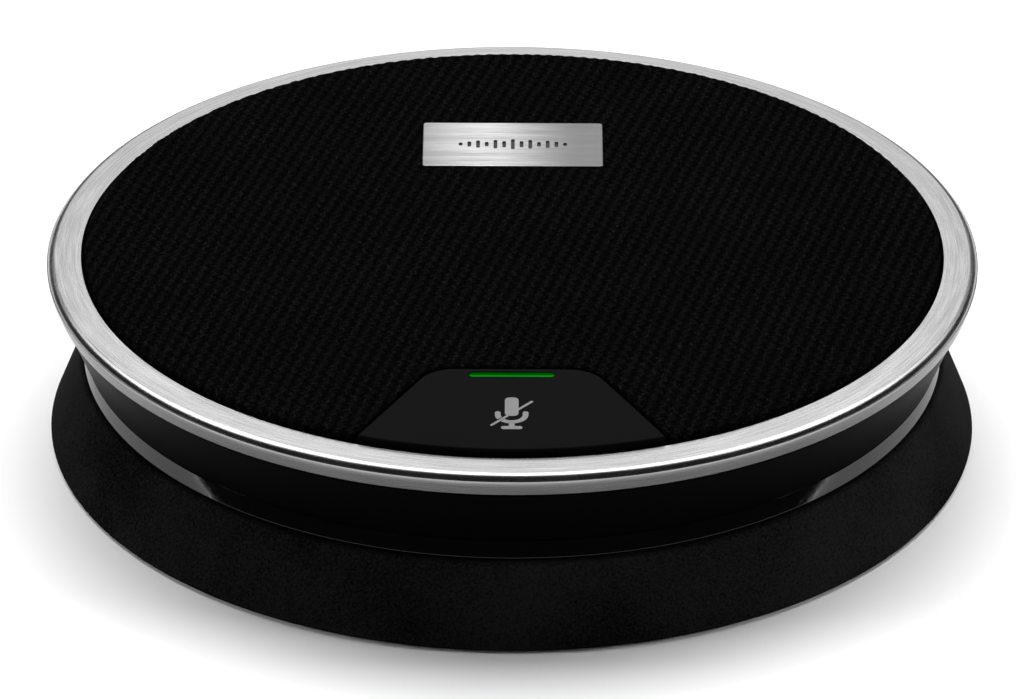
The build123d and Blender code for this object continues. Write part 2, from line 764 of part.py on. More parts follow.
with BuildPart() as mute_key_cap:
    with BuildSketch(Plane.XY.offset(key_foot_z)):
        add(key_outline())
    extrude(amount=dome_top - key_foot_z)
    add(dome_block.part, mode=Mode.INTERSECT)
    fillet(mute_key_cap.faces().sort_by(Axis.Z)[-1].edges(), key_edge_r)
    with BuildSketch(Plane.XY.offset(key_foot_z)):
        add(key_outline(-key_wall))
    extrude(amount=key_roof_z - key_foot_z, mode=Mode.SUBTRACT)
    with BuildSketch(Plane.XY.offset(plunger_top + tip_gap)):
        with Locations((0, switch_y)):
            Circle(plunger_r - pad_inset)
    extrude(amount=key_roof_z - plunger_top - tip_gap)
    with BuildSketch(Plane.XY.offset(deck_top + guide_pin_lift)):
        with Locations(*guide_points):
            Circle(guide_pin_r)
    extrude(amount=key_roof_z - deck_top - guide_pin_lift)
    add(light_guide.part, mode=Mode.SUBTRACT)
    add(mute_icon.part, mode=Mode.SUBTRACT)
save(mute_key_cap, "mute_key_cap")

# ---- key board --------------------------------------------------------------------------------
with BuildPart() as key_board:
    with BuildSketch(Plane.XY.offset(deck_top)):
        with Locations((0, key_board_y)):
            RectangleRounded(key_board_w, key_board_d, key_board_round)
        with Locations(*guide_points):
            Circle(guide_pin_r + guide_clearance, mode=Mode.SUBTRACT)
        with Locations(*key_screw_points):
            Circle(small_screw_r, mode=Mode.SUBTRACT)
    extrude(amount=key_board_t)
save(key_board, "key_board")

screws("key_board_screws", key_screw_points, key_board_top, key_board_t + deck_bite,
       small_screw_r, small_head_r, small_head_h, up=False)

with BuildPart() as switch_body:
    with BuildSketch(Plane.XY.offset(key_board_top)):
        with Locations((0, switch_y)):
            RectangleRounded(switch_w, switch_w, switch_round)
    extrude(amount=switch_h)
    with BuildSketch(Plane.XY.offset(switch_top)):
        with Locations((0, switch_y)):
            Circle(plunger_r + plunger_clearance)
    extrude(amount=-(plunger_h - plunger_stand + key_travel + tip_gap), mode=Mode.SUBTRACT)
save(switch_body, "switch_body")

with BuildPart() as switch_plunger:
    with BuildSketch(Plane.XY.offset(plunger_top - plunger_h)):
        with Locations((0, switch_y)):
            Circle(plunger_r)
    extrude(amount=plunger_h)
save(switch_plunger, "switch_plunger")

with BuildPart() as status_leds:
    with BuildSketch(Plane.XY.offset(key_board_top)):
        with Locations((-led_spread, led_y), (led_spread, led_y)):
            Rectangle(led_size[0], led_size[1])
    extrude(amount=led_size[2])
save(status_leds, "status_leds")

# ---- ribbon and its connectors ----------------------------------------------------------------
upper_connector_y = key_board_back - connector_inset - connector_size[1] / 2
with BuildPart() as ribbon_connectors:
    for level in (key_board_top, board_top):
        with BuildSketch(Plane.XY.offset(level)):
            with Locations((ribbon_x, upper_connector_y)):
                Rectangle(connector_size[0], connector_size[1])
        extrude(amount=connector_size[2])
save(ribbon_connectors, "ribbon_connectors")

connector_face = upper_connector_y + connector_size[1] / 2
with BuildPart() as key_ribbon:
    with BuildSketch(Plane.YZ.offset(ribbon_x - ribbon_w / 2)):
        with BuildLine():
            FilletPolyline(
                (connector_face, board_top + connector_size[2] / 2),
                (ribbon_y, board_top + connector_size[2] / 2),
                (ribbon_y, key_board_top + connector_size[2] / 2),
                (connector_face, key_board_top + connector_size[2] / 2),
                radius=ribbon_bend,
            )
        trace(line_width=ribbon_t)
    extrude(amount=ribbon_w)
save(key_ribbon, "key_ribbon")

# ---- speaker ----------------------------------------------------------------------------------
with BuildPart() as speaker_gasket:
    with BuildSketch(Plane.XY.offset(flange_top)):
        Circle(speaker_r)
        Circle(speaker_opening_r, mode=Mode.SUBTRACT)
        with Locations(*speaker_screw_points):
            Circle(small_screw_r, mode=Mode.SUBTRACT)
    extrude(amount=gasket_t)
save(speaker_gasket, "speaker_gasket")

with BuildPart() as speaker_basket:
    with BuildSketch(Plane.XZ):
        with BuildLine():
            Polyline(
                (magnet_bore_r, top_plate_top),
                (basket_foot_r, top_plate_top),
                (basket_mouth_r + basket_t, flange_z),
                (speaker_r, flange_z),
                (speaker_r, flange_top),
                (basket_mouth_r, flange_top),
                (basket_seat_r, spider_z),
                (basket_seat_r - spider_seat_w, spider_z),
                (basket_seat_r - spider_seat_w, top_plate_top + basket_t),
                (magnet_bore_r, top_plate_top + basket_t),
                close=True,
            )
        make_face()
    revolve(axis=Axis.Z)
    with BuildSketch(Plane.XY.offset(spider_z + window_rim)):
        window_circle = (basket_seat_r + basket_mouth_r + basket_t) / 2
        with PolarLocations(window_circle, window_count, start_angle=180 / window_count):
            Rectangle(window_d, window_w)
    extrude(amount=flange_z - spider_z - 2 * window_rim, mode=Mode.SUBTRACT)
    with BuildSketch(Plane.XY.offset(flange_z)):
        with Locations(*speaker_screw_points):
            Circle(small_screw_r)
    extrude(amount=speaker_flange_t, mode=Mode.SUBTRACT)
save(speaker_basket, "speaker_basket")

with BuildPart() as speaker_top_plate:
    with BuildSketch(Plane.XY.offset(magnet_top)):
        Circle(top_plate_r)
        Circle(coil_out_r + coil_gap, mode=Mode.SUBTRACT)
    extrude(amount=top_plate_t)
save(speaker_top_plate, "speaker_top_plate")

with BuildPart() as speaker_magnet:
    with BuildSketch(Plane.XY.offset(yoke_top)):
        Circle(magnet_r)
        Circle(magnet_bore_r, mode=Mode.SUBTRACT)
    extrude(amount=magnet_t)
save(speaker_magnet, "speaker_magnet")

with BuildPart() as speaker_yoke:
    with BuildSketch(Plane.XY.offset(yoke_z)):
        Circle(top_plate_r)
    extrude(amount=yoke_t)
    with BuildSketch(Plane.XY.offset(yoke_top)):
        Circle(pole_r)
    extrude(amount=top_plate_top - yoke_top)
save(speaker_yoke, "speaker_yoke")

with BuildPart() as voice_coil:
    with BuildSketch(Plane.XY.offset(cone_neck_z + cone_t + coil_lip - coil_h)):
        Circle(coil_out_r)
        Circle(coil_in_r, mode=Mode.SUBTRACT)
    extrude(amount=coil_h)
save(voice_coil, "voice_coil")

with BuildPart() as speaker_cone:
    with BuildSketch(Plane.XZ):
        with BuildLine():
            Polyline(
                (coil_out_r, cone_neck_z),
                (cone_r, flange_top - cone_t),
                (cone_r, flange_top),
                (coil_out_r, cone_neck_z + cone_t),
                close=True,
            )
        make_face()
    revolve(axis=Axis.Z)
save(speaker_cone, "speaker_cone")

cap_z = cone_neck_z + cone_t + cone_fall * (cap_r - coil_out_r) / (cone_r - coil_out_r)
cap_ball_r = (cap_r ** 2 + cap_rise ** 2) / (2 * cap_rise)
cap_ball_z = cap_z + cap_rise - cap_ball_r
with BuildPart() as dust_cap:
    with BuildSketch(Plane.XY.offset(cap_z)):
        Circle(cap_r + cap_rise)
    extrude(amount=cap_rise)
    with Locations((0, 0, cap_ball_z)):
        Sphere(cap_ball_r, mode=Mode.INTERSECT)
        Sphere(cap_ball_r - cap_t, mode=Mode.SUBTRACT)
save(dust_cap, "dust_cap")

roll_mid = (cone_r + basket_mouth_r + surround_seat) / 2
roll_r = (basket_mouth_r + surround_seat - cone_r) / 2
roll_in = roll_r - surround_t
with BuildPart() as speaker_surround:
    with BuildSketch(Plane.XZ):
        with BuildLine():
            Polyline(
                (roll_mid - roll_in, flange_top),
                (cone_r - surround_lip, flange_top),
                (cone_r - surround_lip, flange_top + surround_t),
                (roll_mid - roll_r, flange_top + surround_t),
            )
            ThreePointArc(
                (roll_mid - roll_r, flange_top + surround_t),
                (roll_mid, flange_top + surround_t + roll_r),
                (roll_mid + roll_r, flange_top + surround_t),
            )
            Polyline(
                (roll_mid + roll_r, flange_top + surround_t),
                (speaker_opening_r - surround_gap, flange_top + surround_t),
                (speaker_opening_r - surround_gap, flange_top),
                (roll_mid + roll_in, flange_top),
            )
            ThreePointArc(
                (roll_mid + roll_in, flange_top),
                (roll_mid, flange_top + roll_r),
                (roll_mid - roll_in, flange_top),
            )
        make_face()
    revolve(axis=Axis.Z)
save(speaker_surround, "speaker_surround")

spider_out_r = basket_seat_r - spider_gap
spider_low = []
wave_in_r = coil_out_r + spider_collar
wave_out_r = basket_seat_r - spider_seat_w
for index in range(2 * spider_waves + 1):
    x = wave_in_r + (wave_out_r - wave_in_r) * index / (2 * spider_waves)
    spider_low.append((x, spider_z + (spider_wave if index % 2 else 0.0)))
spider_up = [(x, z + spider_t) for x, z in reversed(spider_low)]
with BuildPart() as speaker_spider:
    with BuildSketch(Plane.XZ):
        with BuildLine():
            Polyline(
                (coil_out_r, spider_z),
                *spider_low,
                (spider_out_r, spider_z),
                (spider_out_r, spider_z + spider_t),
                *spider_up,
                (coil_out_r, spider_z + spider_t),
                close=True,
            )
        make_face()
    revolve(axis=Axis.Z)
save(speaker_spider, "speaker_spider")

screws("speaker_screws", speaker_screw_points, flange_z,
       speaker_flange_t + gasket_t + deck_bite, small_screw_r, small_head_r, small_head_h)

# ---- microphones ------------------------------------------------------------------------------
mic_points = polar_points(mic_circle, mic_angles)
with BuildPart() as microphone_boots:
    with BuildSketch(Plane.XY.offset(deck_top)):
        with Locations(*mic_points):
            Circle(mic_r + boot_wall)
    extrude(amount=mic_h + boot_floor)
    with BuildSketch(Plane.XY.offset(deck_top + boot_floor)):
        with Locations(*mic_points):
            Circle(mic_r)
    extrude(amount=mic_h, mode=Mode.SUBTRACT)
save(microphone_boots, "microphone_boots")

with BuildPart() as microphones:
    with BuildSketch(Plane.XY.offset(deck_top + boot_floor)):
        with Locations(*mic_points):
            Circle(mic_r)
    extrude(amount=mic_h)
    with BuildSketch(Plane.XY.offset(deck_top + boot_floor + mic_h)):
        with Locations(*mic_points):
            Circle(mic_port_r)
    extrude(amount=-mic_port_depth, mode=Mode.SUBTRACT)
save(microphones, "microphones")

# ---- main board -------------------------------------------------------------------------------
with BuildPart() as main_board:
    with BuildSketch(Plane.XY.offset(board_z)):
        Circle(board_r)
        Circle(board_bore_r, mode=Mode.SUBTRACT)
        with Locations(*board_screw_points):
            Circle(small_screw_r, mode=Mode.SUBTRACT)
    extrude(amount=board_t)
save(main_board, "main_board")

screws("board_screws", board_screw_points, board_top, board_t + board_screw_bite,
       small_screw_r, small_head_r, small_head_h, up=False)

with BuildPart() as board_chips:
    for width, x, y in chips:
        with BuildSketch(Plane.XY.offset(board_top)):
            with Locations((x, y)):
                Rectangle(width, width)
        extrude(amount=chip_t)
save(board_chips, "board_chips")

with BuildPart() as shield_can:
    with BuildSketch(Plane.XY.offset(board_top)):
        with Locations(can_at):
            RectangleRounded(can_size[0], can_size[1], can_round)
    extrude(amount=can_size[2])
    with BuildSketch(Plane.XY.offset(board_top)):
        with Locations(can_at):
            Rectangle(can_size[0] - 2 * can_wall, can_size[1] - 2 * can_wall)
    extrude(amount=can_size[2] - can_wall, mode=Mode.SUBTRACT)
save(shield_can, "shield_can")

with BuildPart() as capacitors:
    with BuildSketch(Plane.XY.offset(board_top)):
        with Locations(*polar_points(capacitor_circle, capacitor_angles)):
            Circle(capacitor_r)
    extrude(amount=capacitor_h)
save(capacitors, "capacitors")

# ---- socket -----------------------------------------------------------------------------------
socket_mouth = pocket_back + socket_proud
socket_back = socket_mouth - socket_size[1]
with BuildPart() as socket_shell:
    with BuildSketch(Plane.XZ.offset(-socket_back)):
        with Locations((0, pocket_mid)):
            RectangleRounded(socket_size[0], socket_size[2], socket_round)
    extrude(amount=-socket_size[1])
    with BuildSketch(Plane.XZ.offset(-socket_back - socket_wall)):
        with Locations((0, pocket_mid)):
            RectangleRounded(
                socket_size[0] - 2 * socket_wall,
                socket_size[2] - 2 * socket_wall,
                socket_round - socket_wall,
            )
    extrude(amount=-socket_size[1], mode=Mode.SUBTRACT)
save(socket_shell, "socket_shell")

with BuildPart() as socket_tongue:
    with BuildSketch(Plane.XZ.offset(-socket_back - socket_wall)):
        with Locations((0, pocket_mid)):
            Rectangle(tongue_size[0], tongue_size[2])
    extrude(amount=-tongue_size[1])
save(socket_tongue, "socket_tongue")

with BuildPart() as port_gasket:
    with BuildSketch(Plane.XZ.offset(-(pocket_back - pocket_wall))):
        with Locations((0, pocket_mid)):
            RectangleRounded(
                socket_size[0] + 2 * port_gasket_w,
                socket_size[2] + 2 * port_gasket_w,
                socket_round + port_gasket_w,
            )
            RectangleRounded(
                socket_size[0], socket_size[2], socket_round, mode=Mode.SUBTRACT
            )
    extrude(amount=port_gasket_t)
save(port_gasket, "port_gasket")

# ---- long screws ------------------------------------------------------------------------------
screws("base_screws", base_screw_points, foot_h + head_h,
       plate_top - foot_h - head_h + screw_bite, screw_r, head_r, head_h)
screws("housing_screws", housing_screw_points, shoulder_under,
       neck_z - shoulder_under + screw_bite, screw_r, head_r, head_h)
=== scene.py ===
"""Conference speakerphone: the looks of every piece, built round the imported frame."""
import json
import logging
import math
from collections.abc import Callable, Iterator, Sequence
from contextlib import contextmanager
from dataclasses import dataclass, field
from enum import Enum

import bmesh
import bpy
import numpy as np
from mathutils import Euler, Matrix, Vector


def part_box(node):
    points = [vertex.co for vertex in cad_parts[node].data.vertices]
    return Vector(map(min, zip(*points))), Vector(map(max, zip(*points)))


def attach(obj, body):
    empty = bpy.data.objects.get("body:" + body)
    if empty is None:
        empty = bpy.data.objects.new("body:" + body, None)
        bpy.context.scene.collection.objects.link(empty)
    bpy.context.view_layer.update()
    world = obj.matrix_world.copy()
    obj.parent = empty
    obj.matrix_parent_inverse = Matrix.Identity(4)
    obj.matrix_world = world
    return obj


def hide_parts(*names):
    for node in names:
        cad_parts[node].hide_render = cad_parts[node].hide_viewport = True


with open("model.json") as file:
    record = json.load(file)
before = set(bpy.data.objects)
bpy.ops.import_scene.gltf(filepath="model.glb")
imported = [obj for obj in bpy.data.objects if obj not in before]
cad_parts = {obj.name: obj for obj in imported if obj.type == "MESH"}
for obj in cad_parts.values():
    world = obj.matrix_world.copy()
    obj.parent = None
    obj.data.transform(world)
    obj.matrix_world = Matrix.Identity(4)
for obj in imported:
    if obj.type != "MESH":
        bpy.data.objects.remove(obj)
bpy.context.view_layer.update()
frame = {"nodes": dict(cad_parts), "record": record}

MM = 0.001
FACETS = 256            # facets round a turned piece
CUT_FACETS = 64         # facets round a hole or a small turned piece
NEAR = 4e-6             # how near a vertex lies to a place to count as on it
MERGE = NEAR / 8        # vertices nearer than this become one
TINY = 1e-12            # keeps a length above zero where it divides
ROUND_END = 0.49        # corner radius of a round-ended bar, as a share of its width
SHADE_ANGLE = 35.0      # edges that turn by less than this, in degrees, are smoothed
MIX_LOW, MIX_HIGH, MIX_RESULT = 6, 7, 2     # the Mix node's colour sockets

log = logging.getLogger("speakerphone")
Point = tuple[float, float, float]
Colour = tuple[float, float, float]
Test = Callable[[Vector], bool]
Piece = bpy.types.Object
Pair = tuple[float, float]


# ---- shader graphs ----------------------------------------------------------------------------
class Sock:
    """An output socket that takes part in Python arithmetic; each operator adds a Math node."""

    def __init__(self, graph: "Graph", socket: bpy.types.NodeSocket) -> None:
        """Keep the socket and the graph it belongs to."""
        self.graph = graph
        self.socket = socket

    def _math(self, operation: str, *values: "Sock | float") -> "Sock":
        """Add a Math node with this operation.

        Args:
            operation: Name of the Math node's operation.
            values: Its inputs, in order.

        Returns:
            The node's result.
        """
        return self.graph.math(operation, *values)

    def __add__(self, other: "Sock | float") -> "Sock":
        """Sum."""
        return self._math("ADD", self, other)

    __radd__ = __add__

    def __sub__(self, other: "Sock | float") -> "Sock":
        """Difference."""
        return self._math("SUBTRACT", self, other)

    def __rsub__(self, other: float) -> "Sock":
        """Difference, with this taken off a number."""
        return self._math("SUBTRACT", other, self)

    def __mul__(self, other: "Sock | float") -> "Sock":
        """Product."""
        return self._math("MULTIPLY", self, other)

    __rmul__ = __mul__

    def __truediv__(self, other: "Sock | float") -> "Sock":
        """Quotient."""
        return self._math("DIVIDE", self, other)

    def __rtruediv__(self, other: float) -> "Sock":
        """Quotient of a number and this."""
        return self._math("DIVIDE", other, self)

    def wave(self) -> "Sock":
        """A smooth wave from 0 to 1 that peaks at every whole number."""
        return 0.5 + 0.5 * self._math("COSINE", self * math.tau)

    def sine(self) -> "Sock":
        """Sine of the value counted in whole turns."""
        return self._math("SINE", self * math.tau)

    def ramp(self, low: float, high: float) -> "Sock":
        """Rise smoothly from 0 at low to 1 at high.

        Args:
            low: Value that gives 0.
            high: Value that gives 1.

        Returns:
            The eased share between them.
        """
        return self.graph.node(
            "ShaderNodeMapRange",
            {"interpolation_type": "SMOOTHSTEP"},
            {"Value": self, "From Min": low, "From Max": high},
        )


class Graph:
    """The node tree of a material or of the world, with a single way to add nodes."""

    def __init__(self, owner: bpy.types.Material | bpy.types.World) -> None:
        """Start with the nodes that a new tree holds.

        Args:
            owner: The new material or world.
        """
        owner.use_nodes = True
        self.owner = owner
        self.tree = owner.node_tree

    def given(self, kind: str) -> bpy.types.Node:
        """The node of one type that the new tree holds."""
        return next(node for node in self.tree.nodes if node.type == kind)

    def fill(self, node: bpy.types.Node, inputs: dict[str | int, object]) -> None:
        """Set or link a node's inputs.

        Args:
            node: The node.
            inputs: Values or sockets by input name or number.
        """
        for key, value in inputs.items():
            if isinstance(value, Sock):
                self.tree.links.new(value.socket, node.inputs[key])
            else:
                node.inputs[key].default_value = value

    def node(
        self,
        kind: str,
        settings: dict[str, object] | None = None,
        inputs: dict[str | int, object] | None = None,
        output: str | int = 0,
    ) -> Sock:
        """Add one node.

        Args:
            kind: The node's type.
            settings: Properties that are set before the inputs, such as an operation.
            inputs: Values or sockets by input name or number.
            output: Name or number of the output to return.

        Returns:
            The chosen output.
        """
        made = self.tree.nodes.new(kind)
        for key, value in (settings or {}).items():
            setattr(made, key, value)
        self.fill(made, inputs or {})
        return Sock(self, made.outputs[output])

    def math(self, operation: str, *values: "Sock | float") -> Sock:
        """Add a Math node.

        Args:
            operation: Name of the operation.
            values: Its inputs, in order.

        Returns:
            The node's result.
        """
        return self.node("ShaderNodeMath", {"operation": operation}, dict(enumerate(values)))

    def place(self) -> Sock:
        """Object coordinates, in metres."""
        return self.node("ShaderNodeTexCoord", output="Object")

    def split(self, vector: Sock) -> tuple[Sock, Sock, Sock]:
        """Split a vector into its three numbers.

        Args:
            vector: The vector.

        Returns:
            Its X, Y and Z.
        """
        parts = self.node("ShaderNodeSeparateXYZ", inputs={0: vector})
        x, y, z = parts.socket.node.outputs
        return Sock(self, x), Sock(self, y), Sock(self, z)

    def join(self, x: "Sock | float", y: "Sock | float", z: "Sock | float" = 0.0) -> Sock:
        """Make a vector from three numbers.

        Args:
            x: First number.
            y: Second number.
            z: Third number.

        Returns:
            The vector.
        """
        return self.node("ShaderNodeCombineXYZ", inputs={0: x, 1: y, 2: z})

    def stretch(self, vector: Sock, by: Point) -> Sock:
        """Multiply a vector by a number along each axis.

        Args:
            vector: The vector.
            by: A factor for each axis.

        Returns:
            The stretched vector.
        """
        return self.node("ShaderNodeVectorMath", {"operation": "MULTIPLY"}, {0: vector, 1: by})

    def noise(self, vector: Sock, scale: float, detail: float, roughness: float = 0.5) -> Sock:
        """Add a noise texture.

        Args:
            vector: Coordinates that it reads.
            scale: Features per unit.
            detail: Number of finer layers.
            roughness: Strength of the finer layers.

        Returns:
            Its value, about 0.5 on average.
        """
        return self.node(
            "ShaderNodeTexNoise",
            inputs={"Vector": vector, "Scale": scale, "Detail": detail, "Roughness": roughness},
        )

    def blend(self, share: "Sock | float", low: object, high: object) -> Sock:
        """Mix two colours.

        Args:
            share: Share of the second colour.
            low: First colour, or a socket.
            high: Second colour, or a socket.

        Returns:
            The mixed colour.
        """
        low = low if isinstance(low, Sock) else (*low, 1.0)
        high = high if isinstance(high, Sock) else (*high, 1.0)
        inputs = {0: share, MIX_LOW: low, MIX_HIGH: high}
        return self.node("ShaderNodeMix", {"data_type": "RGBA"}, inputs, MIX_RESULT)

    def bump(self, height: Sock, depth: float, strength: float = 1.0) -> Sock:
        """Turn a height into a normal.

        Args:
            height: The height, about 0 to 1.
            depth: Real depth of one unit of height, in metres.
            strength: Strength of the effect.

        Returns:
            The normal.
        """
        return self.node(
            "ShaderNodeBump", inputs={"Strength": strength, "Distance": depth, "Height": height}
        )

    def finish(self, **inputs: object) -> bpy.types.Material:
        """Set the Principled shader's inputs.

        Args:
            inputs: Values or sockets, named with underscores for spaces.

        Returns:
            The finished material.
        """
        named = {key.replace("_", " "): value for key, value in inputs.items()}
        self.fill(self.given("BSDF_PRINCIPLED"), named)
        return self.owner


def grey(value: float) -> Colour:
    """A neutral colour."""
    return (value, value, value)


# ---- finishes ---------------------------------------------------------------------------------
class Brush(Enum):
    """Direction of the brushing lines on metal."""

    ROUND = "round the Z axis"
    ALONG = "along X"


@dataclass(frozen=True)
class BrushedSteel:
    """Steel with fine brushing lines and broad streaks. Counts are in a metre.

    The sheen is a painted highlight, a lighter stretch along X with painted shade away from it,
    and the side is the outer wall below a given height, painted darker as a painted reflection of
    the dark room that it looks out into.
    """

    name: str
    brush: Brush
    light: float = 0.36
    dark: float = 0.25
    shade: float = 0.3                  # tone of the painted shade, as a share of the dark one
    gloss: float = 0.24
    stretch_round: float = 0.0          # how much the lines draw out a reflection
    line_depth: float = 0.004 * MM
    line_count: float = 5200.0          # lines across the brushing
    line_length: float = 9.0 * MM
    length_r: float = 55.0 * MM         # radius at which lines that go round have that length
    edge_count: float = 900.0           # lines on a plate's edge
    streaks_round: float = 6.0          # how fast broad streaks change round the axis
    streak_count: float = 1400.0        # broad streaks across lines that go round
    plate_streaks: Pair = (60.0, 900.0) # broad streaks on a plate, along X and Y
    fine_share: float = 0.6             # share of the fine lines in the tone
    streak_range: Pair = (0.3, 0.72)
    wear_count: float = 140.0
    smoother: float = 0.05              # how far the smoothest spot lies under the gloss
    line_rough: float = 0.12
    wear_rough: float = 0.04
    # painted highlight along X: its middle and its width
    painted_sheen_at: float = 0.0
    painted_sheen_w: float = 0.0
    painted_sheen_shade: float = 0.85           # strength of the painted shade away from the painted highlight
    # painted shade on the outer wall below this height, a painted reflection of the dark room
    painted_shade_z: float = 0.0
    painted_shade_run: float = 0.35 * MM         # height over which the side's painted shade sets in
    painted_side_shade: float = 0.62

    def lines(self, graph: Graph) -> tuple[Sock, Sock]:
        """Brushing lines, fine and broad.

        Args:
            graph: The material's graph.

        Returns:
            Two values about 0.5, the fine lines and the broad streaks.
        """
        x, y, z = graph.split(graph.place())
        if self.brush is Brush.ROUND:
            radius = graph.math("SQRT", x * x + y * y)
            turn_x, turn_y = x / radius, y / radius
            reach = self.length_r / self.line_length
            thin = graph.join(turn_x * reach, turn_y * reach, (radius + z) * self.line_count)
            wide = graph.join(
                turn_x * self.streaks_round, turn_y * self.streaks_round,
                (radius - z) * self.streak_count,
            )
            return graph.noise(thin, 1.0, 3.0, 0.6), graph.noise(wide, 1.0, 2.0)
        thin = graph.join(x / self.line_length, y * self.line_count, z * self.edge_count)
        wide = graph.join(x * self.plate_streaks[0], y * self.plate_streaks[1])
        return graph.noise(thin, 1.0, 3.0, 0.65), graph.noise(wide, 1.0, 3.0, 0.6)

    def make(self) -> bpy.types.Material:
        """Build the material.

        Returns:
            The material.
        """
        graph = Graph(bpy.data.materials.new(self.name))
        x, _, z = graph.split(graph.place())
        fine, broad = self.lines(graph)
        wear = graph.noise(graph.place(), self.wear_count, 3.0)
        streak = (fine * self.fine_share + broad * (1.0 - self.fine_share)).ramp(*self.streak_range)
        tone = graph.blend(streak, grey(self.dark), grey(self.light))
        painted_shade_tone = grey(self.dark * self.shade)
        # painted highlight: light near one place along X, with painted shade away from it
        if self.painted_sheen_w:
            away = graph.math("ABSOLUTE", x - self.painted_sheen_at).ramp(0.0, self.painted_sheen_w)
            tone = graph.blend(away * self.painted_sheen_shade, tone, painted_shade_tone)
        # painted shade: darker on the outer wall below a height
        if self.painted_shade_z:
            below = ((self.painted_shade_z - z) / MM).ramp(0.0, self.painted_shade_run / MM)
            tone = graph.blend(below * self.painted_side_shade, tone, painted_shade_tone)
        return graph.finish(
            Base_Color=tone,
            Metallic=1.0,
            Roughness=self.gloss - self.smoother + fine * self.line_rough + wear * self.wear_rough,
            Anisotropic=self.stretch_round,
            Normal=graph.bump(fine, self.line_depth),
        )


@dataclass(frozen=True)
class Hairs:
    """A slanted noise on the weave's own grid. Counts are in one repeat of the weave."""

    across: Pair                        # how fast it changes across and along the ribs
    along: Pair                         # the same for its second direction
    detail: float
    roughness: float = 0.5
    layer: float = 0.0                  # keeps two noises apart

    def lay(self, graph: Graph, s: Sock, t: Sock) -> Sock:
        """Lay the noise on the weave.

        Args:
            graph: The material's graph.
            s: Weave repeats across the ribs.
            t: Weave repeats along the ribs.

        Returns:
            Its value, about 0.5 on average.
        """
        first = s * self.across[0] + t * self.across[1]
        second = s * self.along[0] + t * self.along[1]
        return graph.noise(graph.join(first, second, self.layer), 1.0, self.detail, self.roughness)


@dataclass(frozen=True)
class ClothWeave:
    """Black acoustic cloth: steep ribs of lumps with loose fibres. Reads the cloth's own UV map."""

    name: str = "acoustic_cloth"
    yarn: Colour = (0.006, 0.006, 0.0062)
    # painted shade: the dark tone in the weave's hollows, also the dark end of the fibres' uneven
    # tone
    gap: Colour = (0.0004, 0.0004, 0.0004)
    speck: Colour = (0.05, 0.05, 0.051)
    zigzag: float = 0.13                # how far a rib strays to each side, in repeats
    lumps: float = 2.0                  # lumps in a repeat along a rib
    lump_start: float = 0.25
    lump_share: float = 0.38
    ragged_count: float = 2.2
    ragged: Pair = (0.6, 0.5)           # how far the yarn strays, in repeats
    fibres: Hairs = Hairs((12.0, 3.0), (-2.0, 6.0), 3.0, 0.7)
    twists: Hairs = Hairs((5.0, -9.0), (2.0, 3.0), 2.0, 0.6)
    specks: Hairs = Hairs((8.0, 0.0), (0.0, 8.0), 1.0, layer=3.0)
    speck_range: Pair = (0.6, 0.72)
    patch_count: float = 0.09
    patch_tone: Pair = (0.55, 0.9)      # least tone, and what a patch adds
    body: tuple[float, float, float] = (0.4, 3.4, 1.62)     # weave (painted shade in its hollows), fibres, and what is taken off
    relief: tuple[float, float, float] = (0.36, 0.5, 0.4)   # weave, fibres, twists
    relief_depth: float = 0.16 * MM
    relief_strength: float = 0.9

    def height(self, s: Sock, t: Sock) -> Sock:
        """Height of the weave.

        Args:
            s: Weave repeats across the ribs.
            t: Weave repeats along the ribs.

        Returns:
            Height from 0 to 1.
        """
        rib = (s + t.sine() * self.zigzag).wave()
        lump = (t * self.lumps + self.lump_start).wave()
        return rib * (lump * self.lump_share + (1.0 - self.lump_share))

    def make(self) -> bpy.types.Material:
        """Build the material.

        Returns:
            The material.
        """
        graph = Graph(bpy.data.materials.new(self.name))
        uv = graph.node("ShaderNodeTexCoord", output="UV")
        ragged = graph.noise(uv, self.ragged_count, 4.0, 0.65) - 0.5
        s, t, _ = graph.split(uv)
        weave = self.height(s + ragged * self.ragged[0], t + ragged * self.ragged[1])
        fibre = self.fibres.lay(graph, s, t)
        twist = self.twists.lay(graph, s, t)
        speck = self.specks.lay(graph, s, t).ramp(*self.speck_range)
        patch = graph.noise(uv, self.patch_count, 2.0)
        # the weave's hollows are painted darker as shade and its ribs lighter; the fibres give the
        # yarn's own uneven tone
        body = (weave * self.body[0] + fibre * self.body[1] - self.body[2]).ramp(0.0, 1.0)
        share = body * (self.patch_tone[0] + patch * self.patch_tone[1])
        tone = graph.blend(share, self.gap, self.yarn)
        relief = weave * self.relief[0] + fibre * self.relief[1] + twist * self.relief[2]
        return graph.finish(
            Base_Color=graph.blend(speck * body, tone, self.speck),
            Roughness=0.92,
            Specular_IOR_Level=0.0,
            Normal=graph.bump(relief, self.relief_depth, self.relief_strength),
        )


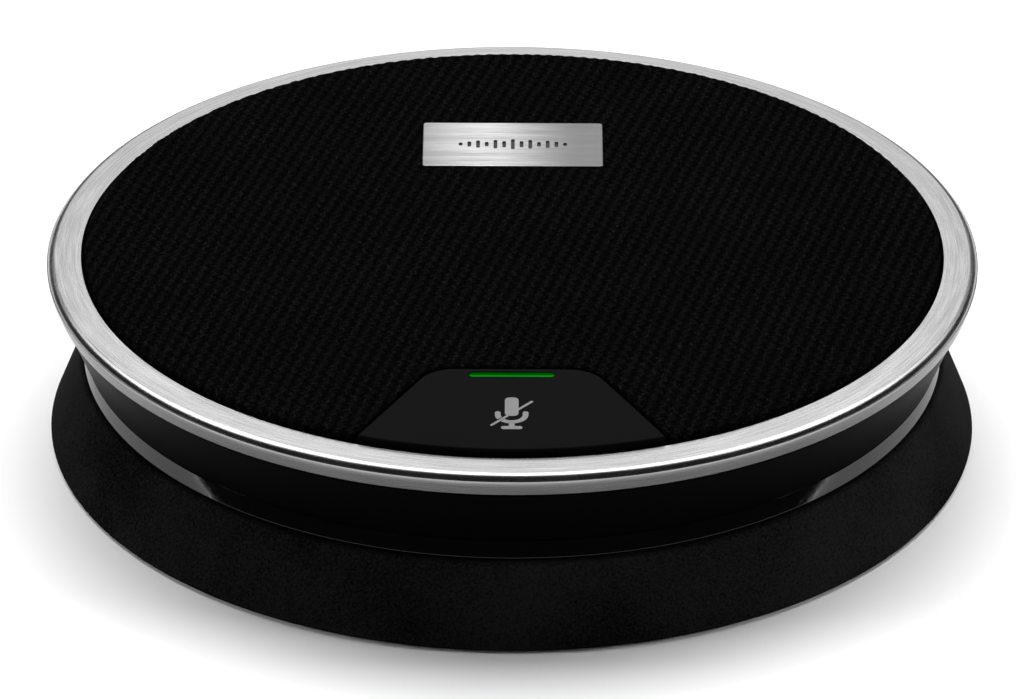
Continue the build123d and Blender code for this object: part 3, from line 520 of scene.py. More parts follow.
@dataclass(frozen=True)
class Plastic:
    """Moulded plastic or rubber: a colour, a gloss and a fine texture. Counts are in a metre."""

    name: str
    colour: Colour
    gloss: float = 0.45
    specular: float = 0.12
    grain: float = 6000.0
    grain_depth: float = 0.012 * MM
    grain_share: float = 0.6            # share of the grain in the tone
    grain_rough: float = 0.12
    cloud: float = 55.0
    cloud_rough: float = 0.06
    contrast: float = 0.2
    tone_range: Pair = (0.3, 0.7)
    tilt: float = 0.0                   # how far the shading leans, as a slope

    def make(self) -> bpy.types.Material:
        """Build the material.

        Returns:
            The material.
        """
        graph = Graph(bpy.data.materials.new(self.name))
        place = graph.place()
        grain = graph.noise(place, self.grain, 2.0, 0.6)
        cloud = graph.noise(place, self.cloud, 3.0)
        low = tuple(c * (1.0 - self.contrast) for c in self.colour)
        high = tuple(c * (1.0 + self.contrast) for c in self.colour)
        share = cloud * (1.0 - self.grain_share) + grain * self.grain_share
        relief = grain
        if self.tilt:
            relief = grain - graph.split(place)[2] * (self.tilt / self.grain_depth)
        rough = (grain - 0.5) * self.grain_rough + (cloud - 0.5) * self.cloud_rough
        return graph.finish(
            Base_Color=graph.blend(share.ramp(*self.tone_range), low, high),
            Roughness=self.gloss + rough,
            Specular_IOR_Level=self.specular,
            Normal=graph.bump(relief, self.grain_depth),
        )


@dataclass(frozen=True)
class PlainMetal:
    """Metal with a dull, slightly uneven surface."""

    name: str
    colour: Colour
    gloss: float = 0.35
    grain: float = 900.0                # in a metre
    grain_depth: float = 0.01 * MM
    grain_rough: float = 0.2
    low: float = 0.85                   # darkest tone, as a share of the colour

    def make(self) -> bpy.types.Material:
        """Build the material.

        Returns:
            The material.
        """
        graph = Graph(bpy.data.materials.new(self.name))
        grain = graph.noise(graph.place(), self.grain, 4.0, 0.6)
        return graph.finish(
            Base_Color=graph.blend(grain, tuple(c * self.low for c in self.colour), self.colour),
            Metallic=1.0,
            Roughness=self.gloss + (grain - 0.5) * self.grain_rough,
            Normal=graph.bump(grain, self.grain_depth),
        )


@dataclass(frozen=True)
class LitBar:
    """Light guide with green light behind it, brighter along its front edge."""

    middle_y: float
    width: float
    name: str = "lit_green"
    dim: Colour = (0.0, 0.06, 0.0)
    bright: Colour = (0.0, 0.34, 0.004)
    skin: tuple[Colour, Colour] = ((0.0, 0.004, 0.0), (0.0, 0.008, 0.001))
    front: Pair = (-0.05, 0.42)         # where the light sets in and is full
    patch_count: float = 900.0          # in a metre
    patch_glow: Pair = (0.8, 0.4)       # least light, and what a patch adds
    gloss: float = 0.35
    patch_rough: float = 0.1
    patch_depth: float = 0.004 * MM

    def make(self) -> bpy.types.Material:
        """Build the material.

        Returns:
            The material.
        """
        graph = Graph(bpy.data.materials.new(self.name))
        x, y, _ = graph.split(graph.place())
        front = ((self.middle_y - y) / self.width).ramp(*self.front)
        patch = graph.noise(graph.join(x * self.patch_count, y * self.patch_count), 1.0, 2.0)
        light = front * (self.patch_glow[0] + patch * self.patch_glow[1])
        return graph.finish(
            Base_Color=graph.blend(patch, *self.skin),
            Roughness=self.gloss + patch * self.patch_rough,
            Specular_IOR_Level=0.0,
            Emission_Color=graph.blend(light, self.dim, self.bright),
            Emission_Strength=1.0,
            Normal=graph.bump(patch, self.patch_depth),
        )


@dataclass(frozen=True)
class CircuitBoard:
    """Lacquered board with copper tracks showing through."""

    name: str = "board_lacquer"
    lacquer: Colour = (0.002, 0.008, 0.004)
    track: Colour = (0.005, 0.02, 0.009)
    cells: float = 420.0                # in a metre
    uneven: float = 0.55
    tracks: float = 9.0                 # tracks round each cell
    track_range: Pair = (0.55, 0.75)
    gloss: float = 0.32
    track_rough: float = 0.12
    track_depth: float = 0.03 * MM

    def make(self) -> bpy.types.Material:
        """Build the material.

        Returns:
            The material.
        """
        graph = Graph(bpy.data.materials.new(self.name))
        cells = graph.node(
            "ShaderNodeTexVoronoi",
            {"distance": "MANHATTAN", "feature": "F1"},
            {"Vector": graph.place(), "Scale": self.cells, "Randomness": self.uneven},
        )
        tracks = (cells * self.tracks).wave().ramp(*self.track_range)
        return graph.finish(
            Base_Color=graph.blend(tracks, self.lacquer, self.track),
            Roughness=self.gloss + tracks * self.track_rough,
            Normal=graph.bump(tracks, self.track_depth),
        )


@dataclass(frozen=True)
class Winding:
    """Enamelled copper wire wound round the Z axis, with painted shade in the grooves between the
    turns.
    """

    name: str = "copper_winding"
    pitch: float = 0.18 * MM
    # painted shade in the grooves between the turns
    between: Colour = (0.25, 0.08, 0.03)
    wire: Colour = (0.72, 0.3, 0.12)
    gloss: float = 0.5
    wire_gloss: float = 0.2             # how much smoother the top of a wire is
    depth: float = 0.05 * MM

    def make(self) -> bpy.types.Material:
        """Build the material.

        Returns:
            The material.
        """
        graph = Graph(bpy.data.materials.new(self.name))
        wire = (graph.split(graph.place())[2] / self.pitch).wave()
        return graph.finish(
            Base_Color=graph.blend(wire, self.between, self.wire),
            Metallic=1.0,
            Roughness=self.gloss - wire * self.wire_gloss,
            Normal=graph.bump(wire, self.depth),
        )


@dataclass(frozen=True)
class PressedPaper:
    """Paper pulp or varnished cloth with loose fibres. Counts are in a metre."""

    name: str
    colour: Colour = (0.02, 0.02, 0.021)
    high: float = 2.2                   # lightest tone, as a multiple of the colour
    pulp_count: float = 700.0
    fibre_count: Point = (900.0, 260.0, 400.0)
    tone_range: Pair = (0.1, 0.5)
    gloss: float = 0.85
    fibre_rough: float = 0.1
    pulp_depth: float = 0.06 * MM

    def make(self) -> bpy.types.Material:
        """Build the material.

        Returns:
            The material.
        """
        graph = Graph(bpy.data.materials.new(self.name))
        place = graph.place()
        pulp = graph.noise(place, self.pulp_count, 5.0, 0.7)
        fibre = graph.noise(graph.stretch(place, self.fibre_count), 1.0, 3.0, 0.6)
        high = tuple(c * self.high for c in self.colour)
        share = (pulp * fibre).ramp(*self.tone_range)
        return graph.finish(
            Base_Color=graph.blend(share, self.colour, high),
            Roughness=self.gloss + (fibre - 0.5) * self.fibre_rough,
            Normal=graph.bump(pulp, self.pulp_depth),
        )


# ---- modelling --------------------------------------------------------------------------------
class Pick(Enum):
    """What a selection picks."""

    VERT = "verts"
    EDGE = "edges"
    FACE = "faces"


def clear_selection() -> None:
    """Deselect every object."""
    for piece in bpy.context.selected_objects:
        piece.select_set(False)


def make_active(piece: Piece) -> None:
    """Select one object alone and make it active.

    Args:
        piece: The object.
    """
    clear_selection()
    piece.select_set(True)
    bpy.context.view_layer.objects.active = piece


@contextmanager
def editing(piece: Piece) -> Iterator[None]:
    """Work on one piece in edit mode, with all of it selected at the start.

    Args:
        piece: The piece to shape.

    Returns:
        A context that goes back to object mode at its end.
    """
    make_active(piece)
    bpy.ops.object.mode_set(mode="EDIT")
    bpy.ops.mesh.select_mode(type="VERT")
    bpy.ops.mesh.select_all(action="SELECT")
    yield
    bpy.ops.object.mode_set(mode="OBJECT")


def pick(piece: Piece, kind: Pick, test: Test) -> int:
    """Select parts whose corners all pass a test, in edit mode.

    Args:
        piece: The piece being edited.
        kind: Vertices, edges or faces.
        test: True for a corner that counts.

    Returns:
        How many were picked.
    """
    bpy.ops.mesh.select_mode(type=kind.name)
    bpy.ops.mesh.select_all(action="DESELECT")
    mesh = bmesh.from_edit_mesh(piece.data)
    found = 0
    for part in getattr(mesh, kind.value):
        corners = [part] if kind is Pick.VERT else part.verts
        if all(test(corner.co) for corner in corners):
            part.select_set(True)
            found += 1
    mesh.select_flush_mode()
    bmesh.update_edit_mesh(piece.data)
    return found


def at_height(z: float) -> Test:
    """Test for corners at one height."""
    return lambda p: abs(p.z - z) < NEAR


def on_circle(radius: float, z: float) -> Test:
    """Test for corners on a circle round the Z axis."""
    return lambda p: abs(math.hypot(p.x, p.y) - radius) < NEAR and abs(p.z - z) < NEAR


def shape_up(piece: Piece, smooth: float = SHADE_ANGLE) -> Piece:
    """Merge doubles, point faces outwards, and smooth the gentle edges.

    Args:
        piece: The piece.
        smooth: Edges that turn by less than this, in degrees, are smoothed.

    Returns:
        The same piece.
    """
    with editing(piece):
        bpy.ops.mesh.remove_doubles(threshold=MERGE)
        bpy.ops.mesh.normals_make_consistent(inside=False)
    with editing(piece):
        if bmesh.from_edit_mesh(piece.data).calc_volume(signed=True) < 0:
            bpy.ops.mesh.flip_normals()
    bpy.ops.object.shade_smooth_by_angle(angle=math.radians(smooth))
    finish_with(piece, "WEIGHTED_NORMAL", keep_sharp=True)
    return piece


def finish_with(piece: Piece, kind: str, **settings: object) -> None:
    """Add a modifier and apply it.

    Args:
        piece: The piece.
        kind: The modifier's type.
        settings: Its properties.
    """
    make_active(piece)
    modifier = piece.modifiers.new(kind.lower(), kind)
    for key, value in settings.items():
        setattr(modifier, key, value)
    bpy.ops.object.modifier_apply(modifier=modifier.name)


def cut(piece: Piece, tool: Piece, operation: str = "DIFFERENCE") -> Piece:
    """Combine a piece with a tool, and remove the tool.

    Args:
        piece: The piece to work on.
        tool: The other solid.
        operation: DIFFERENCE, UNION or INTERSECT.

    Returns:
        The same piece.
    """
    finish_with(piece, "BOOLEAN", operation=operation, object=tool, solver="EXACT")
    bpy.data.objects.remove(tool)
    return piece


def bake_place(piece: Piece) -> Piece:
    """Move a piece's place, turn and scale into its mesh.

    Args:
        piece: The piece.

    Returns:
        The same piece.
    """
    make_active(piece)
    bpy.ops.object.transform_apply(location=True, rotation=True, scale=True)
    return piece


def turned(name: str, profile: Sequence[Pair], facets: int = FACETS) -> Piece:
    """Turn a closed profile round the Z axis.

    Args:
        name: Name of the piece.
        profile: Corners as radius and height, in order.
        facets: Facets round the axis.

    Returns:
        The turned piece, not yet smoothed.
    """
    clear_selection()
    r, z = profile[0]
    bpy.ops.mesh.primitive_plane_add(size=MM, location=(0, 0, 0))
    piece = bpy.context.object
    piece.name = name
    with editing(piece):
        bpy.ops.mesh.merge(type="CENTER")
        bpy.ops.transform.translate(value=(r, 0, z))
        for next_r, next_z in profile[1:]:
            step = (next_r - r, 0, next_z - z)
            bpy.ops.mesh.extrude_region_move(TRANSFORM_OT_translate={"value": step})
            r, z = next_r, next_z
        bpy.ops.mesh.select_all(action="SELECT")
        bpy.ops.mesh.edge_face_add()
        bpy.ops.mesh.delete(type="ONLY_FACE")
        bpy.ops.mesh.select_all(action="SELECT")
        bpy.ops.mesh.spin(steps=facets, angle=math.tau, center=(0, 0, 0), axis=(0, 0, 1))
        bpy.ops.mesh.select_all(action="SELECT")
        bpy.ops.mesh.remove_doubles(threshold=MERGE)
        bpy.ops.mesh.normals_make_consistent(inside=False)
    return piece


def round_circle(piece: Piece, radius: float, z: float, width: float, segments: int = 4) -> None:
    """Round the edge that runs round the axis at one radius and height.

    Args:
        piece: The turned piece.
        radius: The edge's radius.
        z: The edge's height.
        width: Width of the rounding.
        segments: Facets across it.
    """
    with editing(piece):
        if not pick(piece, Pick.EDGE, on_circle(radius, z)):
            raise ValueError(f"{piece.name} has no edge at radius {radius} and height {z}")
        bpy.ops.mesh.bevel(offset=width, segments=segments, affect="EDGES")


def plate(
    name: str, width: float, depth: float, centre: Point, corner: float = 0.0, steps: int = 8
) -> Piece:
    """A flat rectangle in plan with round corners.

    Args:
        name: Name of the piece.
        width: Size along X.
        depth: Size along Y.
        centre: Its centre.
        corner: Corner radius.
        steps: Facets round each corner.

    Returns:
        The flat piece, one face.
    """
    clear_selection()
    bpy.ops.mesh.primitive_plane_add(size=1, location=(0, 0, 0))
    piece = bpy.context.object
    piece.name = name
    with editing(piece):
        bpy.ops.transform.resize(value=(width, depth, 1), center_override=(0, 0, 0))
        if corner:
            bpy.ops.mesh.bevel(offset=corner, segments=steps, affect="VERTICES")
            bpy.ops.mesh.select_all(action="SELECT")
        bpy.ops.transform.translate(value=centre)
    return piece


def rise(piece: Piece, height: float) -> None:
    """Extrude a flat piece into a block.

    Args:
        piece: The flat piece.
        height: How far it rises along Z.
    """
    with editing(piece):
        bpy.ops.mesh.extrude_region_move(TRANSFORM_OT_translate={"value": (0, 0, height)})
        bpy.ops.mesh.select_all(action="SELECT")
        bpy.ops.mesh.normals_make_consistent(inside=False)


def rod(
    name: str, radius: float, low: float, high: float, at: Pair, facets: int = CUT_FACETS
) -> Piece:
    """An upright cylinder.

    Args:
        name: Name of the piece.
        radius: Its radius.
        low: Height of its lower end.
        high: Height of its upper end.
        at: Its place in plan.
        facets: Facets round it.

    Returns:
        The cylinder.
    """
    clear_selection()
    bpy.ops.mesh.primitive_cylinder_add(
        vertices=facets, radius=radius, depth=high - low, location=(*at, (low + high) / 2)
    )
    piece = bpy.context.object
    piece.name = name
    return bake_place(piece)


def joined(name: str, pieces: Sequence[Piece]) -> Piece:
    """Join pieces into one object.

    Args:
        name: Name of the result.
        pieces: The pieces, which become part of the first.

    Returns:
        The first piece.
    """
    make_active(pieces[0])
    for piece in pieces:
        piece.select_set(True)
    bpy.ops.object.join()
    pieces[0].name = name
    return pieces[0]


def move_points(piece: Piece, move: Callable[[np.ndarray], np.ndarray]) -> None:
    """Move every vertex by a formula.

    Args:
        piece: The piece.
        move: Gives the new places of an array of places.
    """
    mesh = piece.data
    points = np.empty(3 * len(mesh.vertices))
    mesh.vertices.foreach_get("co", points)
    mesh.vertices.foreach_set("co", move(points.reshape(-1, 3)).ravel())
    mesh.update()


def dress(
    piece: Piece, material: bpy.types.Material, body: str, stands_for: str
) -> None:
    """Give a piece its material and its body, and hide the CAD node that it replaces.

    Args:
        piece: The finished piece.
        material: Its main material.
        body: CAD body that it rides on.
        stands_for: CAD node that it replaces.
    """
    piece.data.materials.clear()
    piece.data.materials.append(material)
    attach(piece, body)
    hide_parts(stands_for)
    log.info("%s: %d faces on %s", piece.name, len(piece.data.polygons), body)


# ---- the object's shared form -------------------------------------------------------------------
@dataclass
class Dome:
    """The shallow ball that the cloth, the key and the icon follow."""

    top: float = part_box("grille_cloth")[1][2]
    edge_r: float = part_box("grille_cloth")[1][0] - 0.8 * MM     # where the cloth rolls over
    rise: float = 1.5 * MM

    @property
    def ball_r(self) -> float:
        """Radius of the ball."""
        return (self.edge_r ** 2 + self.rise ** 2) / (2 * self.rise)

    def height(self, radius: np.ndarray | float) -> np.ndarray | float:
        """Height of the surface at a distance from the axis."""
        return self.top - self.ball_r + np.sqrt(self.ball_r ** 2 - np.square(radius))

    def drape(self, points: np.ndarray, flat_z: float) -> np.ndarray:
        """Bend points that stand on a flat level so that they stand on the dome.

        Args:
            points: Places to bend.
            flat_z: Height of the flat level.

        Returns:
            The bent places.
        """
        bent = points.copy()
        bent[:, 2] += self.height(np.hypot(points[:, 0], points[:, 1])) - flat_z
        return bent


@dataclass
class KeyPlan:
    """Plan of the mute key and of the opening round it."""

    back_y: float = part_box("mute_key_cap")[1][1]
    front_r: float = -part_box("mute_key_cap")[0][1]
    back_w: float = 20.2 * MM
    slope: float = 60.2         # of the sides, in degrees
    corner_r: float = 4.5 * MM

    @property
    def lean(self) -> float:
        """How far the sides move out for each unit towards the front."""
        return 1 / math.tan(math.radians(self.slope))

    @property
    def tip(self) -> Pair:
        """Where a side meets the front arc, on the +X side.

        Returns:
            Its X and Y.
        """
        half = self.back_w / 2
        a = self.lean ** 2 + 1
        b = 2 * (half * self.lean - self.back_y)
        c = half ** 2 + self.back_y ** 2 - self.front_r ** 2
        run = (math.sqrt(b ** 2 - 4 * a * c) - b) / (2 * a)
        return half + self.lean * run, self.back_y - run

    def distance(self, x: np.ndarray, y: np.ndarray, gap: float) -> np.ndarray:
        """Signed distance to the opening's edge, positive on the cloth.

        Args:
            x: Places along X.
            y: Places along Y.
            gap: Gap between the key and the opening.

        Returns:
            The distances.
        """
        side = np.array((1.0, self.lean)) / math.hypot(1.0, self.lean)
        radius = self.corner_r + gap
        back = y - self.back_y - gap + radius
        flank = (np.abs(x) - self.back_w / 2) * side[0] + (y - self.back_y) * side[1] - gap + radius
        along_back = (flank - back * side[1]) / side[0]
        along_flank = (back - flank * side[1]) / side[0]
        in_corner = (along_back > 0) & (along_flank > 0)
        corner = np.sqrt(np.square(back) + np.square(along_back))
        return np.where(in_corner, corner, np.maximum(back, flank)) - radius


# ---- trim ring ----------------------------------------------------------------------------------
@dataclass
class TrimRing:
    """Spun and brushed ring round the cloth."""

    out_r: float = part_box("trim_ring")[1][0]
    low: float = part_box("trim_ring")[0][2]
    top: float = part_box("trim_ring")[1][2] + 0.01 * MM     # before its inner edge is rounded
    width: float = 4.48 * MM
    fall: float = 0.26 * MM             # of the top face, from its inner to its outer edge
    rounding: float = 1.04 * MM         # of the shoulder
    waist_rounding: float = 0.4 * MM    # where the wall turns in
    wall_h: float = 1.08 * MM           # upright part of the wall, from the shoulder down
    tuck: float = 0.7 * MM
    wall: float = 0.9 * MM
    lip: float = 2.3 * MM
    edge: float = 0.16 * MM
    facets: int = 360
    painted_shade_drop: float = 0.72 * MM        # from the shoulder to where the painted shade of the wall begins

    @property
    def shoulder(self) -> float:
        """Height of the top face at its outer edge."""
        return self.top - self.fall

    def build(self) -> Piece:
        """Turn the ring and round its edges.

        Returns:
            The ring.
        """
        inner = self.out_r - self.width
        shoulder = self.shoulder
        widest = shoulder - self.wall_h
        under = shoulder - self.wall
        foot = self.out_r - self.tuck
        ring = turned("trim_ring_spun", [
            (inner, self.top),
            (self.out_r, shoulder),
            (self.out_r, widest),
            (foot, self.low),
            (foot - self.wall, self.low),
            (self.out_r - self.wall, under),
            (inner + self.wall, under),
            (inner + self.wall, self.top - self.lip),
            (inner, self.top - self.lip),
        ], self.facets)
        round_circle(ring, self.out_r, widest, self.waist_rounding, 4)
        round_circle(ring, self.out_r, shoulder, self.rounding, 10)
        round_circle(ring, inner, self.top, self.edge, 3)
        round_circle(ring, foot, self.low, self.edge, 3)
        return shape_up(ring)

    def dress(self) -> None:
        """Give the ring its brushed finish, with painted shade on its outer wall."""
        painted_shade_z = self.shoulder - self.painted_shade_drop
        steel = BrushedSteel("ring_steel", Brush.ROUND, stretch_round=0.55, painted_shade_z=painted_shade_z)
        dress(self.build(), steel.make(), "housing", "trim_ring")


# ---- cloth --------------------------------------------------------------------------------------
@dataclass
class ClothTop:
    """The woven cloth, stretched over the domed frame and folded in round the key."""

    dome: Dome
    plan: KeyPlan
    weave: ClothWeave = field(default_factory=ClothWeave)
    across: Pair = (1.65 * MM, 0.151 * MM)      # one repeat of the weave across the ribs
    along: Pair = (-0.422 * MM, -1.59 * MM)     # one repeat along them
    cells: int = 5                              # mesh steps in one repeat, each way
    rim_roll: float = 0.8 * MM                  # radius of the bend at the rim
    rim_wall: float = 1.3 * MM                  # what hangs down past the bend
    fold_roll: float = 0.45 * MM                # radius of the bend at the key
    fold_wall: float = 2.4 * MM
    key_gap: float = 0.35 * MM
    relief: float = 0.11 * MM
    stray: float = 0.045                        # uneven course of the ribs, in repeats
    fuzz: float = 0.12                          # uneven height, as a share of the relief
    seed: int = 11

    @property
    def flat_r(self) -> float:
        """Radius of the cloth when it lies flat."""
        return self.dome.edge_r + self.rim_roll * math.pi / 2 + self.rim_wall

    @property
    def fold_reach(self) -> float:
        """How far past the opening's edge the flat cloth reaches."""
        return self.fold_roll * (math.pi / 2 - 1) + self.fold_wall

    def lattice(self) -> tuple[np.ndarray, np.ndarray, np.ndarray, np.ndarray]:
        """Grid of weave repeats and its flat places.

        Returns:
            Repeats across and along the ribs, then flat X and Y.
        """
        turn = np.array((self.across, self.along)).T
        reach = np.linalg.inv(turn)
        counts = np.ceil(np.abs(reach).sum(axis=1) * self.flat_r * self.cells).astype(int) + 1
        s, t = np.meshgrid(
            np.arange(-counts[0], counts[0] + 1) / self.cells,
            np.arange(-counts[1], counts[1] + 1) / self.cells,
        )
        x = turn[0, 0] * s + turn[0, 1] * t
        y = turn[1, 0] * s + turn[1, 1] * t
        return s, t, x, y

    def rolled(self, x: np.ndarray, y: np.ndarray) -> tuple[np.ndarray, np.ndarray]:
        """Places and normals of the cloth over the dome and down its rim.

        Args:
            x: Flat places along X.
            y: Flat places along Y.

        Returns:
            Places and normals, as columns of three.
        """
        flat = np.hypot(x, y)
        safe = np.maximum(flat, NEAR)
        edge = self.dome.edge_r
        start = math.asin(edge / self.dome.ball_r)
        past = np.clip(flat - edge, 0, None)
        lean = np.where(
            flat < edge,
            np.arcsin(np.minimum(flat, edge) / self.dome.ball_r),
            np.minimum(start + past / self.rim_roll, math.pi / 2),
        )
        radius = np.where(
            flat < edge, flat, edge + self.rim_roll * (np.sin(lean) - math.sin(start))
        )
        drop = np.clip(past - self.rim_roll * (math.pi / 2 - start), 0, None)
        height = self.dome.height(np.minimum(flat, edge))
        height = height - np.where(
            flat < edge, 0.0, self.rim_roll * (math.cos(start) - np.cos(lean)) + drop
        )
        out_x, out_y = x / safe, y / safe
        places = np.stack((out_x * radius, out_y * radius, height), axis=-1)
        normals = np.stack((out_x * np.sin(lean), out_y * np.sin(lean), np.cos(lean)), axis=-1)
        return places, normals

    def slope_of_distance(self, x: np.ndarray, y: np.ndarray) -> tuple[np.ndarray, np.ndarray]:
        """Direction in which the distance to the opening grows.

        Args:
            x: Flat places along X.
            y: Flat places along Y.

        Returns:
            The unit direction's X and Y.
        """
        step = 0.01 * MM
        ahead = self.plan.distance(x + step, y, self.key_gap)
        behind = self.plan.distance(x - step, y, self.key_gap)
        above = self.plan.distance(x, y + step, self.key_gap)
        below = self.plan.distance(x, y - step, self.key_gap)
        way_x, way_y = ahead - behind, above - below
        size = np.maximum(np.hypot(way_x, way_y), TINY)
        return way_x / size, way_y / size

    def height_of_weave(self, s: np.ndarray, t: np.ndarray) -> np.ndarray:
        """Height of the ribs and lumps, with uneven yarn.

        Args:
            s: Weave repeats across the ribs.
            t: Weave repeats along the ribs.

        Returns:
            Height, about 0 to 1.
        """
        weave = self.weave
        noise = np.random.default_rng(self.seed)
        wobble = noise.normal(0.0, self.stray, s.shape)
        course = s + weave.zigzag * np.sin(math.tau * t) + wobble
        rib = 0.5 + 0.5 * np.cos(math.tau * course)
        lump = 0.5 + 0.5 * np.cos(math.tau * (weave.lumps * t + weave.lump_start))
        body = rib * (1 - weave.lump_share + weave.lump_share * lump)
        return body + noise.normal(0.0, self.fuzz, s.shape)

    def build(self) -> tuple[Piece, float]:
        """Lay the flat grid over the dome, fold it in at the opening and raise the weave.

        Returns:
            The cloth and its flat area.
        """
        s, t, x, y = self.lattice()
        flat = np.hypot(x, y)
        distance = self.plan.distance(x, y, self.key_gap)
        kept = (flat < self.flat_r) & (distance > -self.fold_reach)
        faces_kept = kept[:-1, :-1] | kept[1:, :-1] | kept[:-1, 1:] | kept[1:, 1:]
        pull = np.minimum(self.flat_r / np.maximum(flat, NEAR), 1.0)
        x, y = x * pull, y * pull
        distance = self.plan.distance(x, y, self.key_gap)
        way_x, way_y = self.slope_of_distance(x, y)
        held = np.maximum(distance, -self.fold_reach)
        run = np.clip(self.fold_roll - held, 0, None)
        turn = np.minimum(run / self.fold_roll, math.pi / 2)
        settled = np.where(run > 0, self.fold_roll * (1 - np.sin(turn)), held)
        past = np.clip(run - self.fold_roll * math.pi / 2, 0, None)
        drop = self.fold_roll * (1 - np.cos(turn)) + past
        shift = settled - distance
        places, normals = self.rolled(x + shift * way_x, y + shift * way_y)
        inward = np.stack((way_x, way_y, np.zeros_like(way_x)), axis=-1)
        places -= normals * drop[..., None]
        normals = normals * np.cos(turn)[..., None] - inward * np.sin(turn)[..., None]
        places += normals * (self.relief * (self.height_of_weave(s, t) - 0.5))[..., None]
        rows, columns = s.shape
        number = np.arange(rows * columns).reshape(rows, columns)
        corners = np.stack(
            (number[:-1, :-1], number[1:, :-1], number[1:, 1:], number[:-1, 1:]), axis=-1
        )
        used, corners = np.unique(corners[faces_kept], return_inverse=True)
        mesh = bpy.data.meshes.new("woven_cloth")
        mesh.from_pydata(places.reshape(-1, 3)[used], [], corners.reshape(-1, 4))
        layer = mesh.uv_layers.new(name="weave")
        repeats = np.stack((s.ravel()[used], t.ravel()[used]), axis=-1)
        layer.data.foreach_set("uv", repeats[corners.ravel()].ravel())
        piece = bpy.data.objects.new("woven_cloth", mesh)
        bpy.context.collection.objects.link(piece)
        make_active(piece)
        bpy.ops.object.shade_smooth()
        if sum(face.normal.z for face in mesh.polygons) < 0:
            mesh.flip_normals()
        cell = abs(self.across[0] * self.along[1] - self.across[1] * self.along[0])
        return piece, float(kept.sum()) * cell / self.cells ** 2

    def dress(self) -> None:
        """Give the cloth its weave."""
        piece, area = self.build()
        dress(piece, self.weave.make(), "housing", "grille_cloth")


# ---- badge --------------------------------------------------------------------------------------
@dataclass
class Badge:
    """Brushed plate with a row of engraved level bars."""

    low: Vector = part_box("badge_plate")[0]
    high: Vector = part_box("badge_plate")[1]
    thick: float = 0.75 * MM
    corner: float = 0.5 * MM
    edge: float = 0.12 * MM
    pitch: float = 1.15 * MM
    bar_w: float = 0.5 * MM
    bar_depth: float = 0.15 * MM
    middle_bar: float = 2.9 * MM
    side_bars: tuple[float, ...] = (0.9, 1.5, 2.1, 1.3, 2.5, 1.8)   # from an end inwards, in mm

    @property
    def bars(self) -> tuple[float, ...]:
        """Heights of all the bars, from left to right."""
        side = tuple(height * MM for height in self.side_bars)
        return (*side, self.middle_bar, *reversed(side))

    def build(self) -> Piece:
        """Raise the plate, bevel its top edge and engrave the bars.

        Returns:
            The badge.
        """
        top = self.high[2]
        middle = ((self.low[0] + self.high[0]) / 2, (self.low[1] + self.high[1]) / 2)
        size = (self.high[0] - self.low[0], self.high[1] - self.low[1])
        badge = plate("badge_engraved", *size, (*middle, top - self.thick), self.corner)
        rise(badge, self.thick)
        with editing(badge):
            pick(badge, Pick.EDGE, at_height(top))
            bpy.ops.mesh.bevel(offset=self.edge, segments=3, affect="EDGES")
        bars = []
        first = middle[0] - self.pitch * (len(self.bars) - 1) / 2
        for index, height in enumerate(self.bars):
            at = (first + index * self.pitch, middle[1], top - self.bar_depth)
            bar = plate(f"bar_{index}", self.bar_w, height, at, self.bar_w * ROUND_END, 6)
            rise(bar, self.bar_depth * 2)
            bars.append(bar)
        cut(badge, joined("bars", bars))
        return shape_up(badge)

    def dress(self) -> None:
        """Give the plate its finish with a painted highlight along X, with paint in the engraving.
        """
        badge = self.build()
        # the steel's painted highlight lies near x = -4 mm and fades to painted shade over 13 mm
        steel = BrushedSteel(
            "badge_steel", Brush.ALONG, light=0.5, dark=0.23, gloss=0.3, line_count=6500.0,
            line_length=7.0 * MM, line_depth=0.006 * MM, painted_sheen_at=-4.0 * MM, painted_sheen_w=13.0 * MM,
        )
        dress(badge, steel.make(), "housing", "badge_plate")
        paint = Plastic("badge_paint", grey(0.006), gloss=0.5, specular=0.2)
        badge.data.materials.append(paint.make())
        floor = self.high[2] - self.bar_depth
        for face in badge.data.polygons:
            if abs(face.center.z - floor) < NEAR:
                face.material_index = 1


